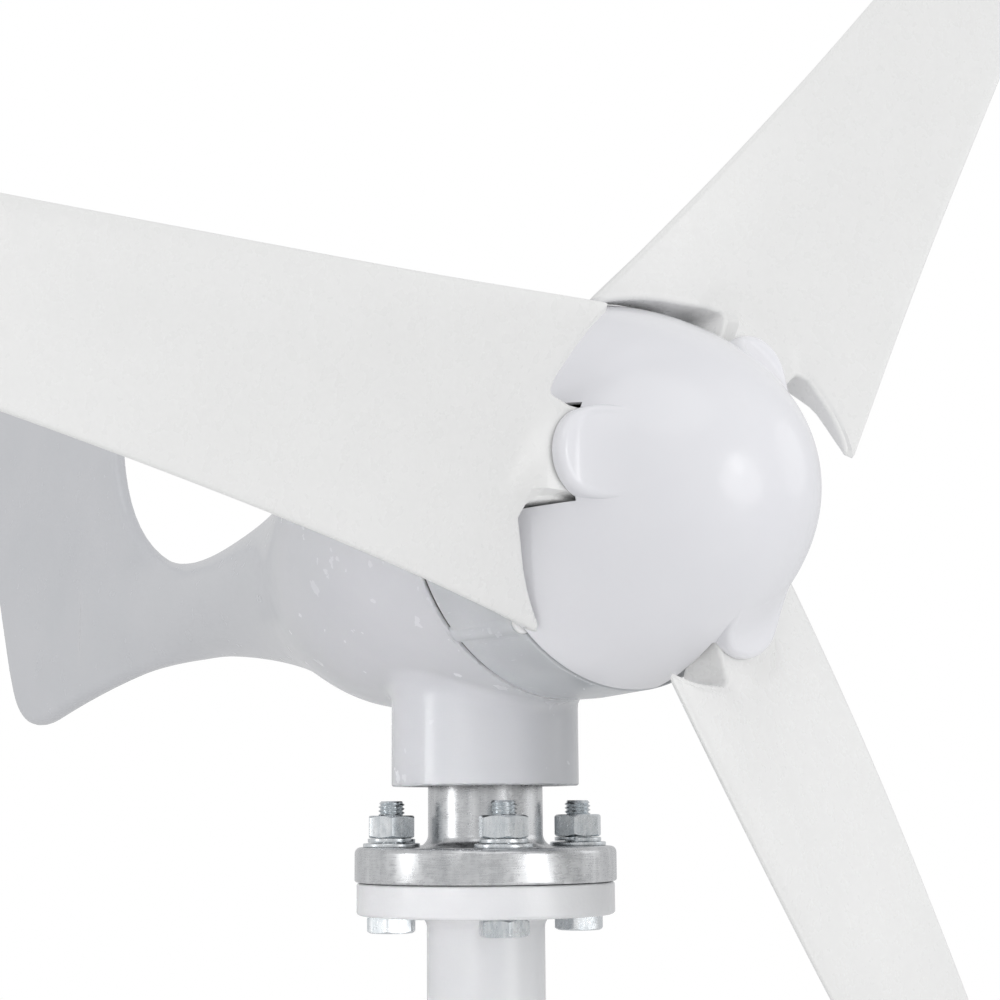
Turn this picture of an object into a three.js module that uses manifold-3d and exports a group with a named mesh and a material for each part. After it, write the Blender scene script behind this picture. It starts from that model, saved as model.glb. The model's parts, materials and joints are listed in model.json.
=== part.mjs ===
// Small three-blade wind turbine on a flanged mast stub.
// Millimetres, +Z up. Origin: centre of the lower end of the mast tube, on the yaw axis.
// The nose and rotor face +X; the tail fin is towards -X.
import * as THREE from "three";
import { mergeVertices } from "three/addons/utils/BufferGeometryUtils.js";
import Module from "manifold-3d";

const wasm = await Module();
wasm.setup();

// ---- driving dimensions ----
const GAP = 0.3;

const TUBE_LENGTH = 150;
const TUBE_RADIUS = 22.5;
const TUBE_BORE = 19.5;
const WELD_LEG = 3.5;
const LOWER_FLANGE_RADIUS = 49.2;
const LOWER_FLANGE_THICKNESS = 12;
const SWIVEL_FLANGE_RADIUS = 50;
const SWIVEL_FLANGE_THICKNESS = 13;
const SWIVEL_SHAFT_RADIUS = 22;
const SWIVEL_BEARING_SEAT = 17.5;
const SWIVEL_BORE = 8;
const SWIVEL_FILLET = 4.5;
const BOLT_CIRCLE = 36.3;
const BOLT_COUNT = 4;
const BOLT_TURN = THREE.MathUtils.degToRad(-27.8);
const BOLT_RADIUS = 5;
const BOLT_HOLE = 5.5;
const HEX_FLATS = 17;
const HEAD_HEIGHT = 6.4;
const NUT_HEIGHT = 8.6;
const THREAD_PROUD = 5.6;
const WASHER_RADIUS = 10.8;
const WASHER_THICKNESS = 1.5;
const SPRING_WASHER_RADIUS = 9;
const SPRING_WASHER_THICKNESS = 1.5;

const SEAM_Z = TUBE_LENGTH + LOWER_FLANGE_THICKNESS;
const SWIVEL_FLANGE_TOP = SEAM_Z + GAP + SWIVEL_FLANGE_THICKNESS;
const NECK_BOTTOM = SEAM_Z + 36.1;
const NECK_RADIUS = 36;
const NECK_FILLET = 5;
const YAW_RACE_OUTER = 31;
const YAW_RACE_SPLIT = 23.9;
const YAW_RACE_WIDTH = 14;
const YAW_RACE_SPACING = 3;
const LOCK_NUT_RADIUS = 23;
const LOCK_NUT_HEIGHT = 5;
const YAW_SHOULDER = NECK_BOTTOM + 3.4;
const YAW_SHAFT_TOP = YAW_SHOULDER + 38.5;

const AXIS_Z = SEAM_Z + 138.6;
const BODY_JOINT_X = 46.5;
const BODY_RADIUS = 71.8;
const SHELL_BORE = 67.3;
const COVER_FRONT_X = 79;
const COVER_FRONT_RADIUS = 70.2;
const LUG_CIRCLE = 67;
const LUG_RADIUS = 5.4;
const LUG_BACK_X = 24;
const LUG_COUNT = 4;
const SCREW_RADIUS = 2.5;

const SPINNER_RIM_X = 83;
const SPINNER_LENGTH = 74.8;
const SPINNER_RADIUS = 69.7;
const SPINNER_WALL = 3;
const SPINNER_POWER_X = 1.19;
const SPINNER_POWER_R = 2.34;
const TONGUE_HALF_WIDTH = 16.2;
const TONGUE_TIP = 64.8;
const TONGUE_THICKNESS = 4.4;
const POST_RADII = [42, 48.4];
const POST_FRONT_X = 129;

const HUB_BACK_X = 92.5;
const HUB_FRONT_X = 101.7;
const HUB_RADIUS = 58;
const BLADE_COUNT = 3;
const BLADE_PHASE = THREE.MathUtils.degToRad(4.58);
const BLADE_PLANE_X = 117.1;
const BLADE_ROOT_ARC = 71.2;
const BLADE_TIP = 600;
const ROOT_PAD_START = 18;
const ROOT_PAD_END = 70;
const ROOT_PAD_HALF_WIDTH = 18;
const ROOT_PAD_FRONT_X = 117.8;
const BLADE_BOLT_RADII = [27, 41];

const SHAFT_RADIUS = 10;
const REAR_BEARING_X = -43;
const FRONT_BEARING_X = 63;
const RACE_WIDTH = 14;
const RACE_OUTER = 23.5;
const RACE_SPLIT = 16.6;
const RACE_PLAY = 0.6;
const SEAT_OUTER = 30;
const STATOR_BACK_X = 26;
const STATOR_FRONT_X = 58;
const STATOR_OUTER = 61;
const STATOR_INNER = 47.3;
const SLOT_COUNT = 9;
const COIL_HALF_WIDTH = 4;
const COIL_INNER = 50;
const COIL_OUTER = 57;
const MAGNET_COUNT = 8;
const MAGNET_HALF_WIDTH = 8;
const MAGNET_OUTER = 46;
const CORE_RADIUS = 42;

const SLIP_CORE_RADIUS = 11;
const SLIP_RING_RADIUS = 14;
const SLIP_RING_HEIGHT = 6;
const SLIP_RING_PITCH = 9;
const SLIP_RING_COUNT = 3;
const SLIP_STACK_HEIGHT = 30;
const BRUSH_BACK_X = -21;
const BRUSH_HALF_WIDTH = 2.5;
const BRUSH_HALF_HEIGHT = 2;
const BRUSH_HOLDER_DEPTH = 6.2;
const BRUSH_HOLDER_HALF_WIDTH = 7;

const BLADE_BOLT_RADIUS = 3;
const BLADE_BOLT_HOLE = 3.3;
const BLADE_BOLT_HEAD_RADIUS = 5;
const BLADE_BOLT_HEAD_HEIGHT = 3.4;
const HUB_BOSS_RADIUS = 20;
const HUB_BOSS_BACK_X = 84;
const HUB_THREAD_RADIUS = 8;
const HUB_NUT_FLATS = 24;
const HUB_NUT_HEIGHT = 11;
const HUB_WASHER_RADIUS = 15;
const HUB_WASHER_THICKNESS = 2;

// x, rise of the section's centre over the rotor axis, half height, half width
const BODY_STATIONS = [
  [46.5, 0, 71.8, 71.8],
  [12, -0.3, 71.8, 71.6],
  [-25, -2.7, 68.8, 68],
  [-60, -8.8, 60.3, 59],
  [-93, -11.9, 45.9, 45],
  [-122, -13.2, 36.7, 35.5],
  [-160, -14.4, 28.9, 26.5],
  [-200, -15.7, 23.8, 19],
  [-240, -16, 22.3, 12.5],
  [-285, -16, 20, 7],
  [-330, -16, 15, 3.6],
];

// radius, leading-edge offset, trailing-edge offset, mid-chord lead over the blade plane, pitch, thickness
const BLADE_STATIONS = [
  [40, 51.8, -56.6, -9, 20, 8.5],
  [75, 47.7, -52, -3.6, 16.8, 8.5],
  [110, 43.4, -47.5, 1.4, 13.6, 8],
  [160, 37.5, -41.5, 7.8, 9.9, 7],
  [220, 30.4, -34.9, 14.8, 7.4, 6],
  [300, 21.3, -27.4, 22.2, 6, 5],
  [400, 13.8, -22.2, 27, 5, 4],
  [500, 9.6, -18.8, 30, 4, 3.2],
  [575, 7.6, -16.6, 31.6, 3.4, 2.6],
  [594, 4.5, -14, 32, 3.2, 2.2],
  [BLADE_TIP, -1, -9, 32.1, 3.1, 1.6],
];

const DISC_SIDES = 32;
const RING_SIDES = 18;
const SMALL_SIDES = 12;
const HOLE_SIDES = 8;

// ---- finishes ----
const FINISH = {
  castGrey: { color: 0xc9ccd1, roughness: 0.35, metalness: 0.1 },
  spinnerWhite: { color: 0xe6e6ec, roughness: 0.15, metalness: 0 },
  bladeWhite: { color: 0xf0f0ec, roughness: 0.3, metalness: 0 },
  tubeWhite: { color: 0xe8e9ec, roughness: 0.3, metalness: 0 },
  turnedAluminium: { color: 0xb8babd, roughness: 0.3, metalness: 1 },
  zincPlate: { color: 0xc3ccd1, roughness: 0.35, metalness: 1 },
  darkSteel: { color: 0x77797c, roughness: 0.4, metalness: 1 },
  electricalSteel: { color: 0x5d6064, roughness: 0.5, metalness: 0.8 },
  copper: { color: 0xb5692f, roughness: 0.35, metalness: 1 },
  brass: { color: 0xc7a253, roughness: 0.3, metalness: 1 },
  rubber: { color: 0x1d1d1f, roughness: 0.8, metalness: 0 },
  blackPlastic: { color: 0x222326, roughness: 0.6, metalness: 0 },
};

// ---- solids ----
function solidOf(geometry) {
  const bare = new THREE.BufferGeometry();
  bare.setAttribute("position", geometry.getAttribute("position"));
  if (geometry.index) bare.setIndex(geometry.index);
  const merged = mergeVertices(bare, 1e-4);
  const corners = new Uint32Array(merged.index.array);
  const build = (triVerts) =>
    new wasm.Manifold(
      new wasm.Mesh({
        numProp: 3,
        vertProperties: new Float32Array(merged.attributes.position.array),
        triVerts,
      }),
    );
  const solid = build(corners);
  if (solid.volume() > 0) return solid;
  for (let i = 0; i < corners.length; i += 3) {
    [corners[i + 1], corners[i + 2]] = [corners[i + 2], corners[i + 1]];
  }
  return build(corners);
}

function geometryOf(solid) {
  const mesh = solid.getMesh();
  const geometry = new THREE.BufferGeometry();
  geometry.setAttribute("position", new THREE.BufferAttribute(mesh.vertProperties, 3));
  geometry.setIndex(new THREE.BufferAttribute(mesh.triVerts, 1));
  return geometry;
}

const join = (...solids) => solids.reduce((a, b) => a.add(b));
const cut = (solid, ...tools) => tools.reduce((a, b) => a.subtract(b), solid);

// Revolves (radius, height) points about +Z.
function turned(points, sides = DISC_SIDES) {
  const profile = points.map(([r, z]) => new THREE.Vector2(r, z));
  const geometry = new THREE.LatheGeometry(profile, sides);
  geometry.rotateX(Math.PI / 2);
  return geometry;
}

// A solid of revolution about the yaw axis.
const aboutMast = (points, sides) => solidOf(turned(points, sides));

// A solid of revolution about the rotor axis, from (radius, x) points.
function aboutRotor(points, sides = DISC_SIDES) {
  const geometry = turned(points, sides);
  geometry.rotateY(Math.PI / 2);
  geometry.translate(0, 0, AXIS_Z);
  return solidOf(geometry);
}

const ringPoints = (inner, outer, low, high) => [
  [inner, low],
  [outer, low],
  [outer, high],
  [inner, high],
  [inner, low],
];
const discPoints = (outer, low, high) => [
  [0, low],
  [outer, low],
  [outer, high],
  [0, high],
];
const mastRing = (inner, outer, low, high, sides) =>
  aboutMast(ringPoints(inner, outer, low, high), sides);
const mastDisc = (outer, low, high, sides) => aboutMast(discPoints(outer, low, high), sides);
const rotorRing = (inner, outer, low, high, sides) =>
  aboutRotor(ringPoints(inner, outer, low, high), sides);
const rotorDisc = (outer, low, high, sides) => aboutRotor(discPoints(outer, low, high), sides);

function hexagon(flats, low, high) {
  const cornerRadius = flats / Math.sqrt(3);
  return solidOf(turned(discPoints(cornerRadius, low, high), 6));
}

function box(xs, ys, zs) {
  const geometry = new THREE.BoxGeometry(xs[1] - xs[0], ys[1] - ys[0], zs[1] - zs[0]);
  geometry.translate((xs[0] + xs[1]) / 2, (ys[0] + ys[1]) / 2, (zs[0] + zs[1]) / 2);
  return solidOf(geometry);
}

// Joins equal-length rings of points into a closed skin with flat ends.
function loft(rings) {
  const count = rings[0].length;
  const positions = rings.flat().flatMap((p) => [p.x, p.y, p.z]);
  const index = [];
  for (let ring = 0; ring + 1 < rings.length; ring++) {
    for (let i = 0; i < count; i++) {
      const a = ring * count + i;
      const b = ring * count + ((i + 1) % count);
      index.push(a, b, b + count, a, b + count, a + count);
    }
  }
  const last = (rings.length - 1) * count;
  for (let i = 1; i + 1 < count; i++) {
    index.push(0, i + 1, i);
    index.push(last, last + i, last + i + 1);
  }
  const geometry = new THREE.BufferGeometry();
  geometry.setAttribute("position", new THREE.Float32BufferAttribute(positions, 3));
  geometry.setIndex(index);
  return solidOf(geometry);
}

// Smooth values of a station table's columns at any place between its first and last row.
function stationReader(stations) {
  const columns = stations[0].length;
  const curve = (column) =>
    new THREE.CatmullRomCurve3(
      stations.map((row) => new THREE.Vector3(row[0], row[column], 0)),
      false,
      "centripetal",
    );
  const curves = Array.from({ length: columns - 1 }, (_, i) => curve(i + 1));
  return (step) => {
    const points = curves.map((c) => c.getPoint(step));
    return [points[0].x, ...points.map((p) => p.y)];
  };
}

const root = new THREE.Group();
function addNode(name, solid, finish) {
  const mesh = new THREE.Mesh(geometryOf(solid), new THREE.MeshStandardMaterial(FINISH[finish]));
  mesh.name = name;
  root.add(mesh);
  return mesh;
}

const boltAngles = Array.from(
  { length: BOLT_COUNT },
  (_, i) => BOLT_TURN + (i * 2 * Math.PI) / BOLT_COUNT,
);
const boltPlace = (angle) => [BOLT_CIRCLE * Math.cos(angle), BOLT_CIRCLE * Math.sin(angle)];

// ---- mast end ----
function boltHoles(low, high) {
  return boltAngles.map((angle) => {
    const [x, y] = boltPlace(angle);
    return mastDisc(BOLT_HOLE, low, high, HOLE_SIDES).translate([x, y, 0]);
  });
}

function filletPoints(radius, z, size, towards) {
  const steps = 3;
  return Array.from({ length: steps + 1 }, (_, i) => {
    const turn = (i / steps) * (Math.PI / 2);
    return [radius + size * (1 - Math.sin(turn)), z + towards * size * (1 - Math.cos(turn))];
  });
}

function mastTubeFlange() {
  const weld = filletPoints(TUBE_RADIUS, TUBE_LENGTH, WELD_LEG, -1);
  const outline = [
    [TUBE_BORE, 0],
    [TUBE_RADIUS, 0],
    ...weld.toReversed(),
    [LOWER_FLANGE_RADIUS - 0.6, TUBE_LENGTH],
    [LOWER_FLANGE_RADIUS, TUBE_LENGTH + 0.6],
    [LOWER_FLANGE_RADIUS, SEAM_Z - 0.6],
    [LOWER_FLANGE_RADIUS - 0.6, SEAM_Z],
    [TUBE_BORE, SEAM_Z],
    [TUBE_BORE, 0],
  ];
  return cut(aboutMast(outline), ...boltHoles(TUBE_LENGTH - 5, SEAM_Z + 5));
}

function swivelShaft() {
  const low = SEAM_Z + GAP;
  const top = SWIVEL_FLANGE_TOP;
  const edge = 2.4;
  const outline = [
    [SWIVEL_BORE, low],
    [SWIVEL_FLANGE_RADIUS, low],
    [SWIVEL_FLANGE_RADIUS, top - edge],
    [SWIVEL_FLANGE_RADIUS - edge * 0.3, top - edge * 0.3],
    [SWIVEL_FLANGE_RADIUS - edge, top],
    ...filletPoints(SWIVEL_SHAFT_RADIUS, top, SWIVEL_FILLET, 1),
    [SWIVEL_SHAFT_RADIUS, YAW_SHOULDER],
    [SWIVEL_BEARING_SEAT, YAW_SHOULDER],
    [SWIVEL_BEARING_SEAT, YAW_SHAFT_TOP],
    [SWIVEL_BORE, YAW_SHAFT_TOP],
    [SWIVEL_BORE, low],
  ];
  return cut(aboutMast(outline), ...boltHoles(low - 5, top + 5));
}

function addMastFasteners() {
  const flatLow = SWIVEL_FLANGE_TOP + GAP;
  const springLow = flatLow + WASHER_THICKNESS + 0.2;
  const nutLow = springLow + SPRING_WASHER_THICKNESS + 0.2;
  const headTop = TUBE_LENGTH - GAP;
  const threadTop = nutLow + NUT_HEIGHT + THREAD_PROUD;
  boltAngles.forEach((angle, i) => {
    const [x, y] = boltPlace(angle);
    const number = i + 1;
    const place = (solid, turn = angle) =>
      solid.rotate([0, 0, THREE.MathUtils.radToDeg(turn)]).translate([x, y, 0]);
    const shank = aboutMast(
      [
        [0, headTop - 1],
        [BOLT_RADIUS, headTop - 1],
        [BOLT_RADIUS, threadTop - 0.8],
        [BOLT_RADIUS - 0.8, threadTop],
        [0, threadTop],
      ],
      SMALL_SIDES,
    );
    const bolt = join(hexagon(HEX_FLATS, headTop - HEAD_HEIGHT, headTop), shank);
    const nut = cut(
      hexagon(HEX_FLATS, nutLow, nutLow + NUT_HEIGHT),
      mastDisc(BOLT_RADIUS + GAP, nutLow - 1, nutLow + NUT_HEIGHT + 1, SMALL_SIDES),
    );
    const ring = (outer, low, thickness) =>
      mastRing(BOLT_RADIUS + GAP, outer, low, low + thickness, SMALL_SIDES);
    addNode(`flange_bolt_${number}`, place(bolt), "zincPlate");
    addNode(`flange_nut_${number}`, place(nut, angle + 0.35 * i), "zincPlate");
    addNode(
      `flat_washer_${number}`,
      place(ring(WASHER_RADIUS, flatLow, WASHER_THICKNESS)),
      "zincPlate",
    );
    addNode(
      `spring_washer_${number}`,
      place(ring(SPRING_WASHER_RADIUS, springLow, SPRING_WASHER_THICKNESS)),
      "zincPlate",
    );
  });
}

function addYawTrain() {
  const seat = SWIVEL_BEARING_SEAT + GAP;
  const lower = YAW_SHOULDER + GAP;
  const upper = lower + YAW_RACE_WIDTH + YAW_RACE_SPACING;
  const races = { lower, upper };
  for (const [name, low] of Object.entries(races)) {
    const high = low + YAW_RACE_WIDTH;
    const inner = mastRing(seat, YAW_RACE_SPLIT, low, high, RING_SIDES);
    const outer = mastRing(
      YAW_RACE_SPLIT + RACE_PLAY,
      YAW_RACE_OUTER - GAP,
      low,
      high,
      RING_SIDES,
    );
    addNode(`yaw_bearing_${name}_inner`, inner, "darkSteel");
    addNode(`yaw_bearing_${name}_outer`, outer, "darkSteel");
  }
  const nutLow = upper + YAW_RACE_WIDTH + GAP;
  const nutTop = nutLow + LOCK_NUT_HEIGHT;
  const lockNut = mastRing(seat, LOCK_NUT_RADIUS, nutLow, nutTop, RING_SIDES);
  addNode("yaw_lock_nut", lockNut, "darkSteel");
  addNode(
    "yaw_seal",
    mastRing(SWIVEL_SHAFT_RADIUS + GAP, YAW_RACE_OUTER - GAP, NECK_BOTTOM + 0.4, YAW_SHOULDER, 28),
    "rubber",
  );
  addSlipRings();
}

function addSlipRings() {
  const stackLow = YAW_SHAFT_TOP + GAP;
  const stackTop = stackLow + SLIP_STACK_HEIGHT;
  const core = mastDisc(SLIP_CORE_RADIUS, stackLow, stackTop, SMALL_SIDES);
  addNode("slip_ring_core", core, "blackPlastic");
  for (let i = 0; i < SLIP_RING_COUNT; i++) {
    const middle = stackLow + SLIP_STACK_HEIGHT / 2 + (i - 1) * SLIP_RING_PITCH;
    const ring = mastRing(
      SLIP_CORE_RADIUS + GAP,
      SLIP_RING_RADIUS,
      middle - SLIP_RING_HEIGHT / 2,
      middle + SLIP_RING_HEIGHT / 2,
      SMALL_SIDES,
    );
    const brush = box(
      [BRUSH_BACK_X, -SLIP_RING_RADIUS - GAP],
      [-BRUSH_HALF_WIDTH, BRUSH_HALF_WIDTH],
      [middle - BRUSH_HALF_HEIGHT, middle + BRUSH_HALF_HEIGHT],
    );
    addNode(`slip_ring_${i + 1}`, ring, "brass");
    addNode(`brush_${i + 1}`, brush, "darkSteel");
  }
  const holderFront = BRUSH_BACK_X - GAP;
  const holder = box(
    [holderFront - BRUSH_HOLDER_DEPTH, holderFront],
    [-BRUSH_HOLDER_HALF_WIDTH, BRUSH_HOLDER_HALF_WIDTH],
    [stackLow - 1, stackTop + 2],
  );
  addNode("brush_holder", holder, "blackPlastic");
}

// ---- nacelle ----
function bodySkin() {
  const steps = 16;
  const read = stationReader(BODY_STATIONS);
  const rings = Array.from({ length: steps + 1 }, (_, i) => {
    const [x, rise, height, width] = read(i / steps);
    return Array.from({ length: DISC_SIDES }, (_, side) => {
      const turn = (side / DISC_SIDES) * 2 * Math.PI;
      const y = width * Math.cos(turn);
      return new THREE.Vector3(x, y, AXIS_Z + rise + height * Math.sin(turn));
    });
  });
  return loft(rings);
}

// Outline of the tail fin in (x, height over the rotor axis).
function finOutline() {
  const fin = new THREE.Shape();
  fin.moveTo(-200, -20);
  fin.lineTo(-216, -37.5);
  fin.bezierCurveTo(-262, -40, -315, -49, -368, -62.5);
  fin.bezierCurveTo(-392, -68, -406, -62, -415, -46);
  fin.lineTo(-421, -34);
  fin.bezierCurveTo(-438, 8, -472, 96, -488, 142);
  fin.bezierCurveTo(-492, 156, -488, 163, -476, 163);
  fin.lineTo(-352, 163);
  fin.bezierCurveTo(-338, 163, -332, 157, -326, 143);
  fin.bezierCurveTo(-318, 122, -309, 96, -303.5, 72);
  fin.bezierCurveTo(-298, 42, -280, 19, -239, 6.5);
  fin.lineTo(-200, -4);
  fin.closePath();
  return fin;
}

function finPlate() {
  const half = 4.2;
  const bevel = 1.6;
  const geometry = new THREE.ExtrudeGeometry(finOutline(), {
    depth: 2 * (half - bevel),
    bevelEnabled: true,
    bevelThickness: bevel,
    bevelSize: bevel,
    bevelOffset: -bevel,
    bevelSegments: 1,
    curveSegments: 5,
  });
  geometry.translate(0, 0, -(half - bevel));
  geometry.rotateX(Math.PI / 2);
  geometry.translate(0, 0, AXIS_Z);
  return solidOf(geometry);
}

const lugAngles = Array.from(
  { length: LUG_COUNT },
  (_, i) => Math.PI / 4 + (i * 2 * Math.PI) / LUG_COUNT,
);
const onCircle = (solid, angle, radius) =>
  solid.translate([0, radius * Math.cos(angle), radius * Math.sin(angle)]);
const lugs = (radius, back, front) =>
  lugAngles.map((angle) => onCircle(rotorDisc(radius, back, front, SMALL_SIDES), angle, LUG_CIRCLE));

function housingCavity() {
  const outline = [
    [0, -82],
    [30, -74],
    [46, -56],
    [60, -28],
    [SHELL_BORE, 10],
    [SHELL_BORE, BODY_JOINT_X + 5],
    [0, BODY_JOINT_X + 5],
  ];
  return aboutRotor(outline);
}

function rearBearingSeat() {
  const back = REAR_BEARING_X - 1.5;
  const front = REAR_BEARING_X + RACE_WIDTH + 0.5;
  const ring = rotorRing(RACE_OUTER + GAP, SEAT_OUTER, back, front, DISC_SIDES);
  const reach = 66;
  const start = SEAT_OUTER - 2;
  const half = 4;
  const rib = (ys, zs) => box([back, front], ys, zs);
  const spider = join(
    rib([-reach, -start], [AXIS_Z - half, AXIS_Z + half]),
    rib([start, reach], [AXIS_Z - half, AXIS_Z + half]),
    rib([-half, half], [AXIS_Z + start, AXIS_Z + reach]),
    rib([-2 * half, 2 * half], [AXIS_Z - reach, AXIS_Z - start]),
  );
  return { ring, spider };
}

function nacelleHousing() {
  const skin = bodySkin();
  const neckTop = AXIS_Z - 50;
  const flare = AXIS_Z - BODY_RADIUS;
  const neck = aboutMast([
    [0, NECK_BOTTOM],
    [NECK_RADIUS - 0.8, NECK_BOTTOM],
    [NECK_RADIUS, NECK_BOTTOM + 0.8],
    [NECK_RADIUS, flare - 3],
    [NECK_RADIUS + NECK_FILLET * 0.3, flare + 0.5],
    [NECK_RADIUS + NECK_FILLET, flare + 5],
    [NECK_RADIUS + NECK_FILLET, flare + 8],
    [0, neckTop],
  ]);
  const { ring, spider } = rearBearingSeat();
  const shell = cut(join(skin, finPlate(), neck), housingCavity());
  const insideLugs = lugs(LUG_RADIUS, LUG_BACK_X, BODY_JOINT_X).map((lug) => lug.intersect(skin));
  const seat = join(ring, spider.intersect(skin));
  return cut(
    join(shell, seat, ...insideLugs),
    mastDisc(YAW_RACE_OUTER, NECK_BOTTOM - 5, AXIS_Z - 58),
    ...lugAngles.map((angle) =>
      onCircle(rotorDisc(SCREW_RADIUS + GAP, 27, 60, 12), angle, LUG_CIRCLE),
    ),
  );
}

function frontCover() {
  const back = BODY_JOINT_X + GAP;
  const front = COVER_FRONT_X;
  const seatBack = FRONT_BEARING_X - 1;
  const lip = FRONT_BEARING_X + RACE_WIDTH + GAP;
  const sealBore = 16.3;
  const plateBack = front - 6;
  const outline = [
    [SHELL_BORE, back],
    [BODY_RADIUS, back],
    [BODY_RADIUS, back + 10],
    [COVER_FRONT_RADIUS, front - 1.2],
    [COVER_FRONT_RADIUS - 1.2, front],
    [sealBore, front],
    [sealBore, lip],
    [RACE_OUTER + GAP, lip],
    [RACE_OUTER + GAP, seatBack],
    [SEAT_OUTER, seatBack],
    [SEAT_OUTER, plateBack],
    [SHELL_BORE, plateBack],
    [SHELL_BORE, back],
  ];
  const screwHoles = lugAngles.map((angle) =>
    onCircle(rotorDisc(SCREW_RADIUS + GAP, back - 5, front + 5, 12), angle, LUG_CIRCLE),
  );
  return cut(join(aboutRotor(outline), ...lugs(LUG_RADIUS, back, front)), ...screwHoles);
}

function addCoverScrews() {
  lugAngles.forEach((angle, i) => {
    const low = COVER_FRONT_X + GAP;
    const screw = join(
      rotorDisc(SCREW_RADIUS, 28, low + 1, 12),
      rotorDisc(4.2, low, low + 2.8, SMALL_SIDES),
    );
    addNode(`cover_screw_${i + 1}`, onCircle(screw, angle, LUG_CIRCLE), "zincPlate");
  });
}

// ---- generator ----
function aroundRotor(solid, count, phase = 0) {
  return Array.from({ length: count }, (_, i) => {
    const turn = 360 * (i / count) + phase;
    return solid.translate([0, 0, -AXIS_Z]).rotate([turn, 0, 0]).translate([0, 0, AXIS_Z]);
  });
}

function addStator() {
  const coil = (gap) =>
    box(
      [STATOR_BACK_X - 4, STATOR_FRONT_X + 4],
      [-COIL_HALF_WIDTH - gap, COIL_HALF_WIDTH + gap],
      [AXIS_Z + COIL_INNER - gap, AXIS_Z + COIL_OUTER + gap],
    );
  const core = cut(
    rotorRing(STATOR_INNER, STATOR_OUTER, STATOR_BACK_X, STATOR_FRONT_X),
    ...aroundRotor(coil(GAP), SLOT_COUNT),
  );
  const endRing = (low) => rotorRing(COIL_INNER - 0.5, COIL_OUTER + 0.5, low, low + 3, RING_SIDES);
  const winding = join(
    endRing(STATOR_BACK_X - 4.5),
    endRing(STATOR_FRONT_X + 1.5),
    ...aroundRotor(coil(0), SLOT_COUNT),
  );
  addNode("stator_core", core, "electricalSteel");
  addNode("stator_winding", winding, "copper");
}

function addRotorShaftTrain() {
  const magnet = box(
    [STATOR_BACK_X, STATOR_FRONT_X],
    [-MAGNET_HALF_WIDTH, MAGNET_HALF_WIDTH],
    [AXIS_Z + CORE_RADIUS - 4, AXIS_Z + MAGNET_OUTER],
  );
  const core = cut(
    join(
      rotorDisc(CORE_RADIUS, STATOR_BACK_X, STATOR_FRONT_X),
      ...aroundRotor(magnet, MAGNET_COUNT),
    ),
    rotorDisc(SHAFT_RADIUS + GAP, STATOR_BACK_X - 5, STATOR_FRONT_X + 5, SMALL_SIDES),
  );
  addNode("rotor_core", core, "electricalSteel");
  const shaft = aboutRotor(
    [
      [0, REAR_BEARING_X - 1],
      [SHAFT_RADIUS, REAR_BEARING_X - 1],
      [SHAFT_RADIUS, HUB_FRONT_X - 1],
      [HUB_THREAD_RADIUS, HUB_FRONT_X - 1],
      [HUB_THREAD_RADIUS, HUB_FRONT_X + 17],
      [HUB_THREAD_RADIUS - 1, HUB_FRONT_X + 18],
      [0, HUB_FRONT_X + 18],
    ],
    SMALL_SIDES,
  );
  addNode("rotor_shaft", shaft, "darkSteel");
  const bearings = { front: FRONT_BEARING_X, rear: REAR_BEARING_X };
  for (const [name, low] of Object.entries(bearings)) {
    const high = low + RACE_WIDTH;
    const inner = rotorRing(SHAFT_RADIUS + GAP, RACE_SPLIT, low, high, RING_SIDES);
    const outer = rotorRing(RACE_SPLIT + RACE_PLAY, RACE_OUTER, low, high, RING_SIDES);
    addNode(`${name}_bearing_inner`, inner, "darkSteel");
    addNode(`${name}_bearing_outer`, outer, "darkSteel");
  }
  const seal = rotorRing(
    SHAFT_RADIUS + GAP,
    16,
    COVER_FRONT_X - 1.3,
    COVER_FRONT_X + 1.5,
    RING_SIDES,
  );
  addNode("shaft_seal", seal, "rubber");
}

// ---- rotor ----
const bladeTurns = Array.from(
  { length: BLADE_COUNT },
  (_, i) => BLADE_PHASE + (i * 2 * Math.PI) / BLADE_COUNT,
);

// Turns a piece drawn with its blade along +Y to the blade's place, and lifts it to the rotor axis.
function atBlade(solid, turn) {
  const degrees = 180 - THREE.MathUtils.radToDeg(turn);
  return solid.rotate([degrees, 0, 0]).translate([0, 0, AXIS_Z]);
}

// A closed aerofoil section: front face towards +X, leading edge at positive offset.
function bladeSection([radius, lead, trail, midX, pitch, thickness]) {
  const perSide = 6;
  const chord = lead - trail;
  const drop = (chord / 2) * Math.tan(THREE.MathUtils.degToRad(pitch));
  const camber = 0.035 * chord;
  const outline = [];
  const thicknessAt = (c) =>
    thickness *
    (1.4845 * Math.sqrt(c) - 0.63 * c - 1.758 * c ** 2 + 1.4215 * c ** 3 - 0.38 * c ** 4);
  const point = (c, side) => {
    const bow = 4 * camber * c * (1 - c);
    const offset = lead - chord * c;
    const x = BLADE_PLANE_X + midX + drop * (1 - 2 * c) - bow + side * thicknessAt(c);
    return new THREE.Vector3(x, radius, -offset);
  };
  for (let i = 0; i <= perSide; i++) {
    outline.push(point((1 - Math.cos((Math.PI * i) / perSide)) / 2, 1));
  }
  for (let i = perSide; i >= 1; i--) {
    outline.push(point((1 - Math.cos((Math.PI * i) / perSide)) / 2, -1));
  }
  return outline;
}

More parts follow.
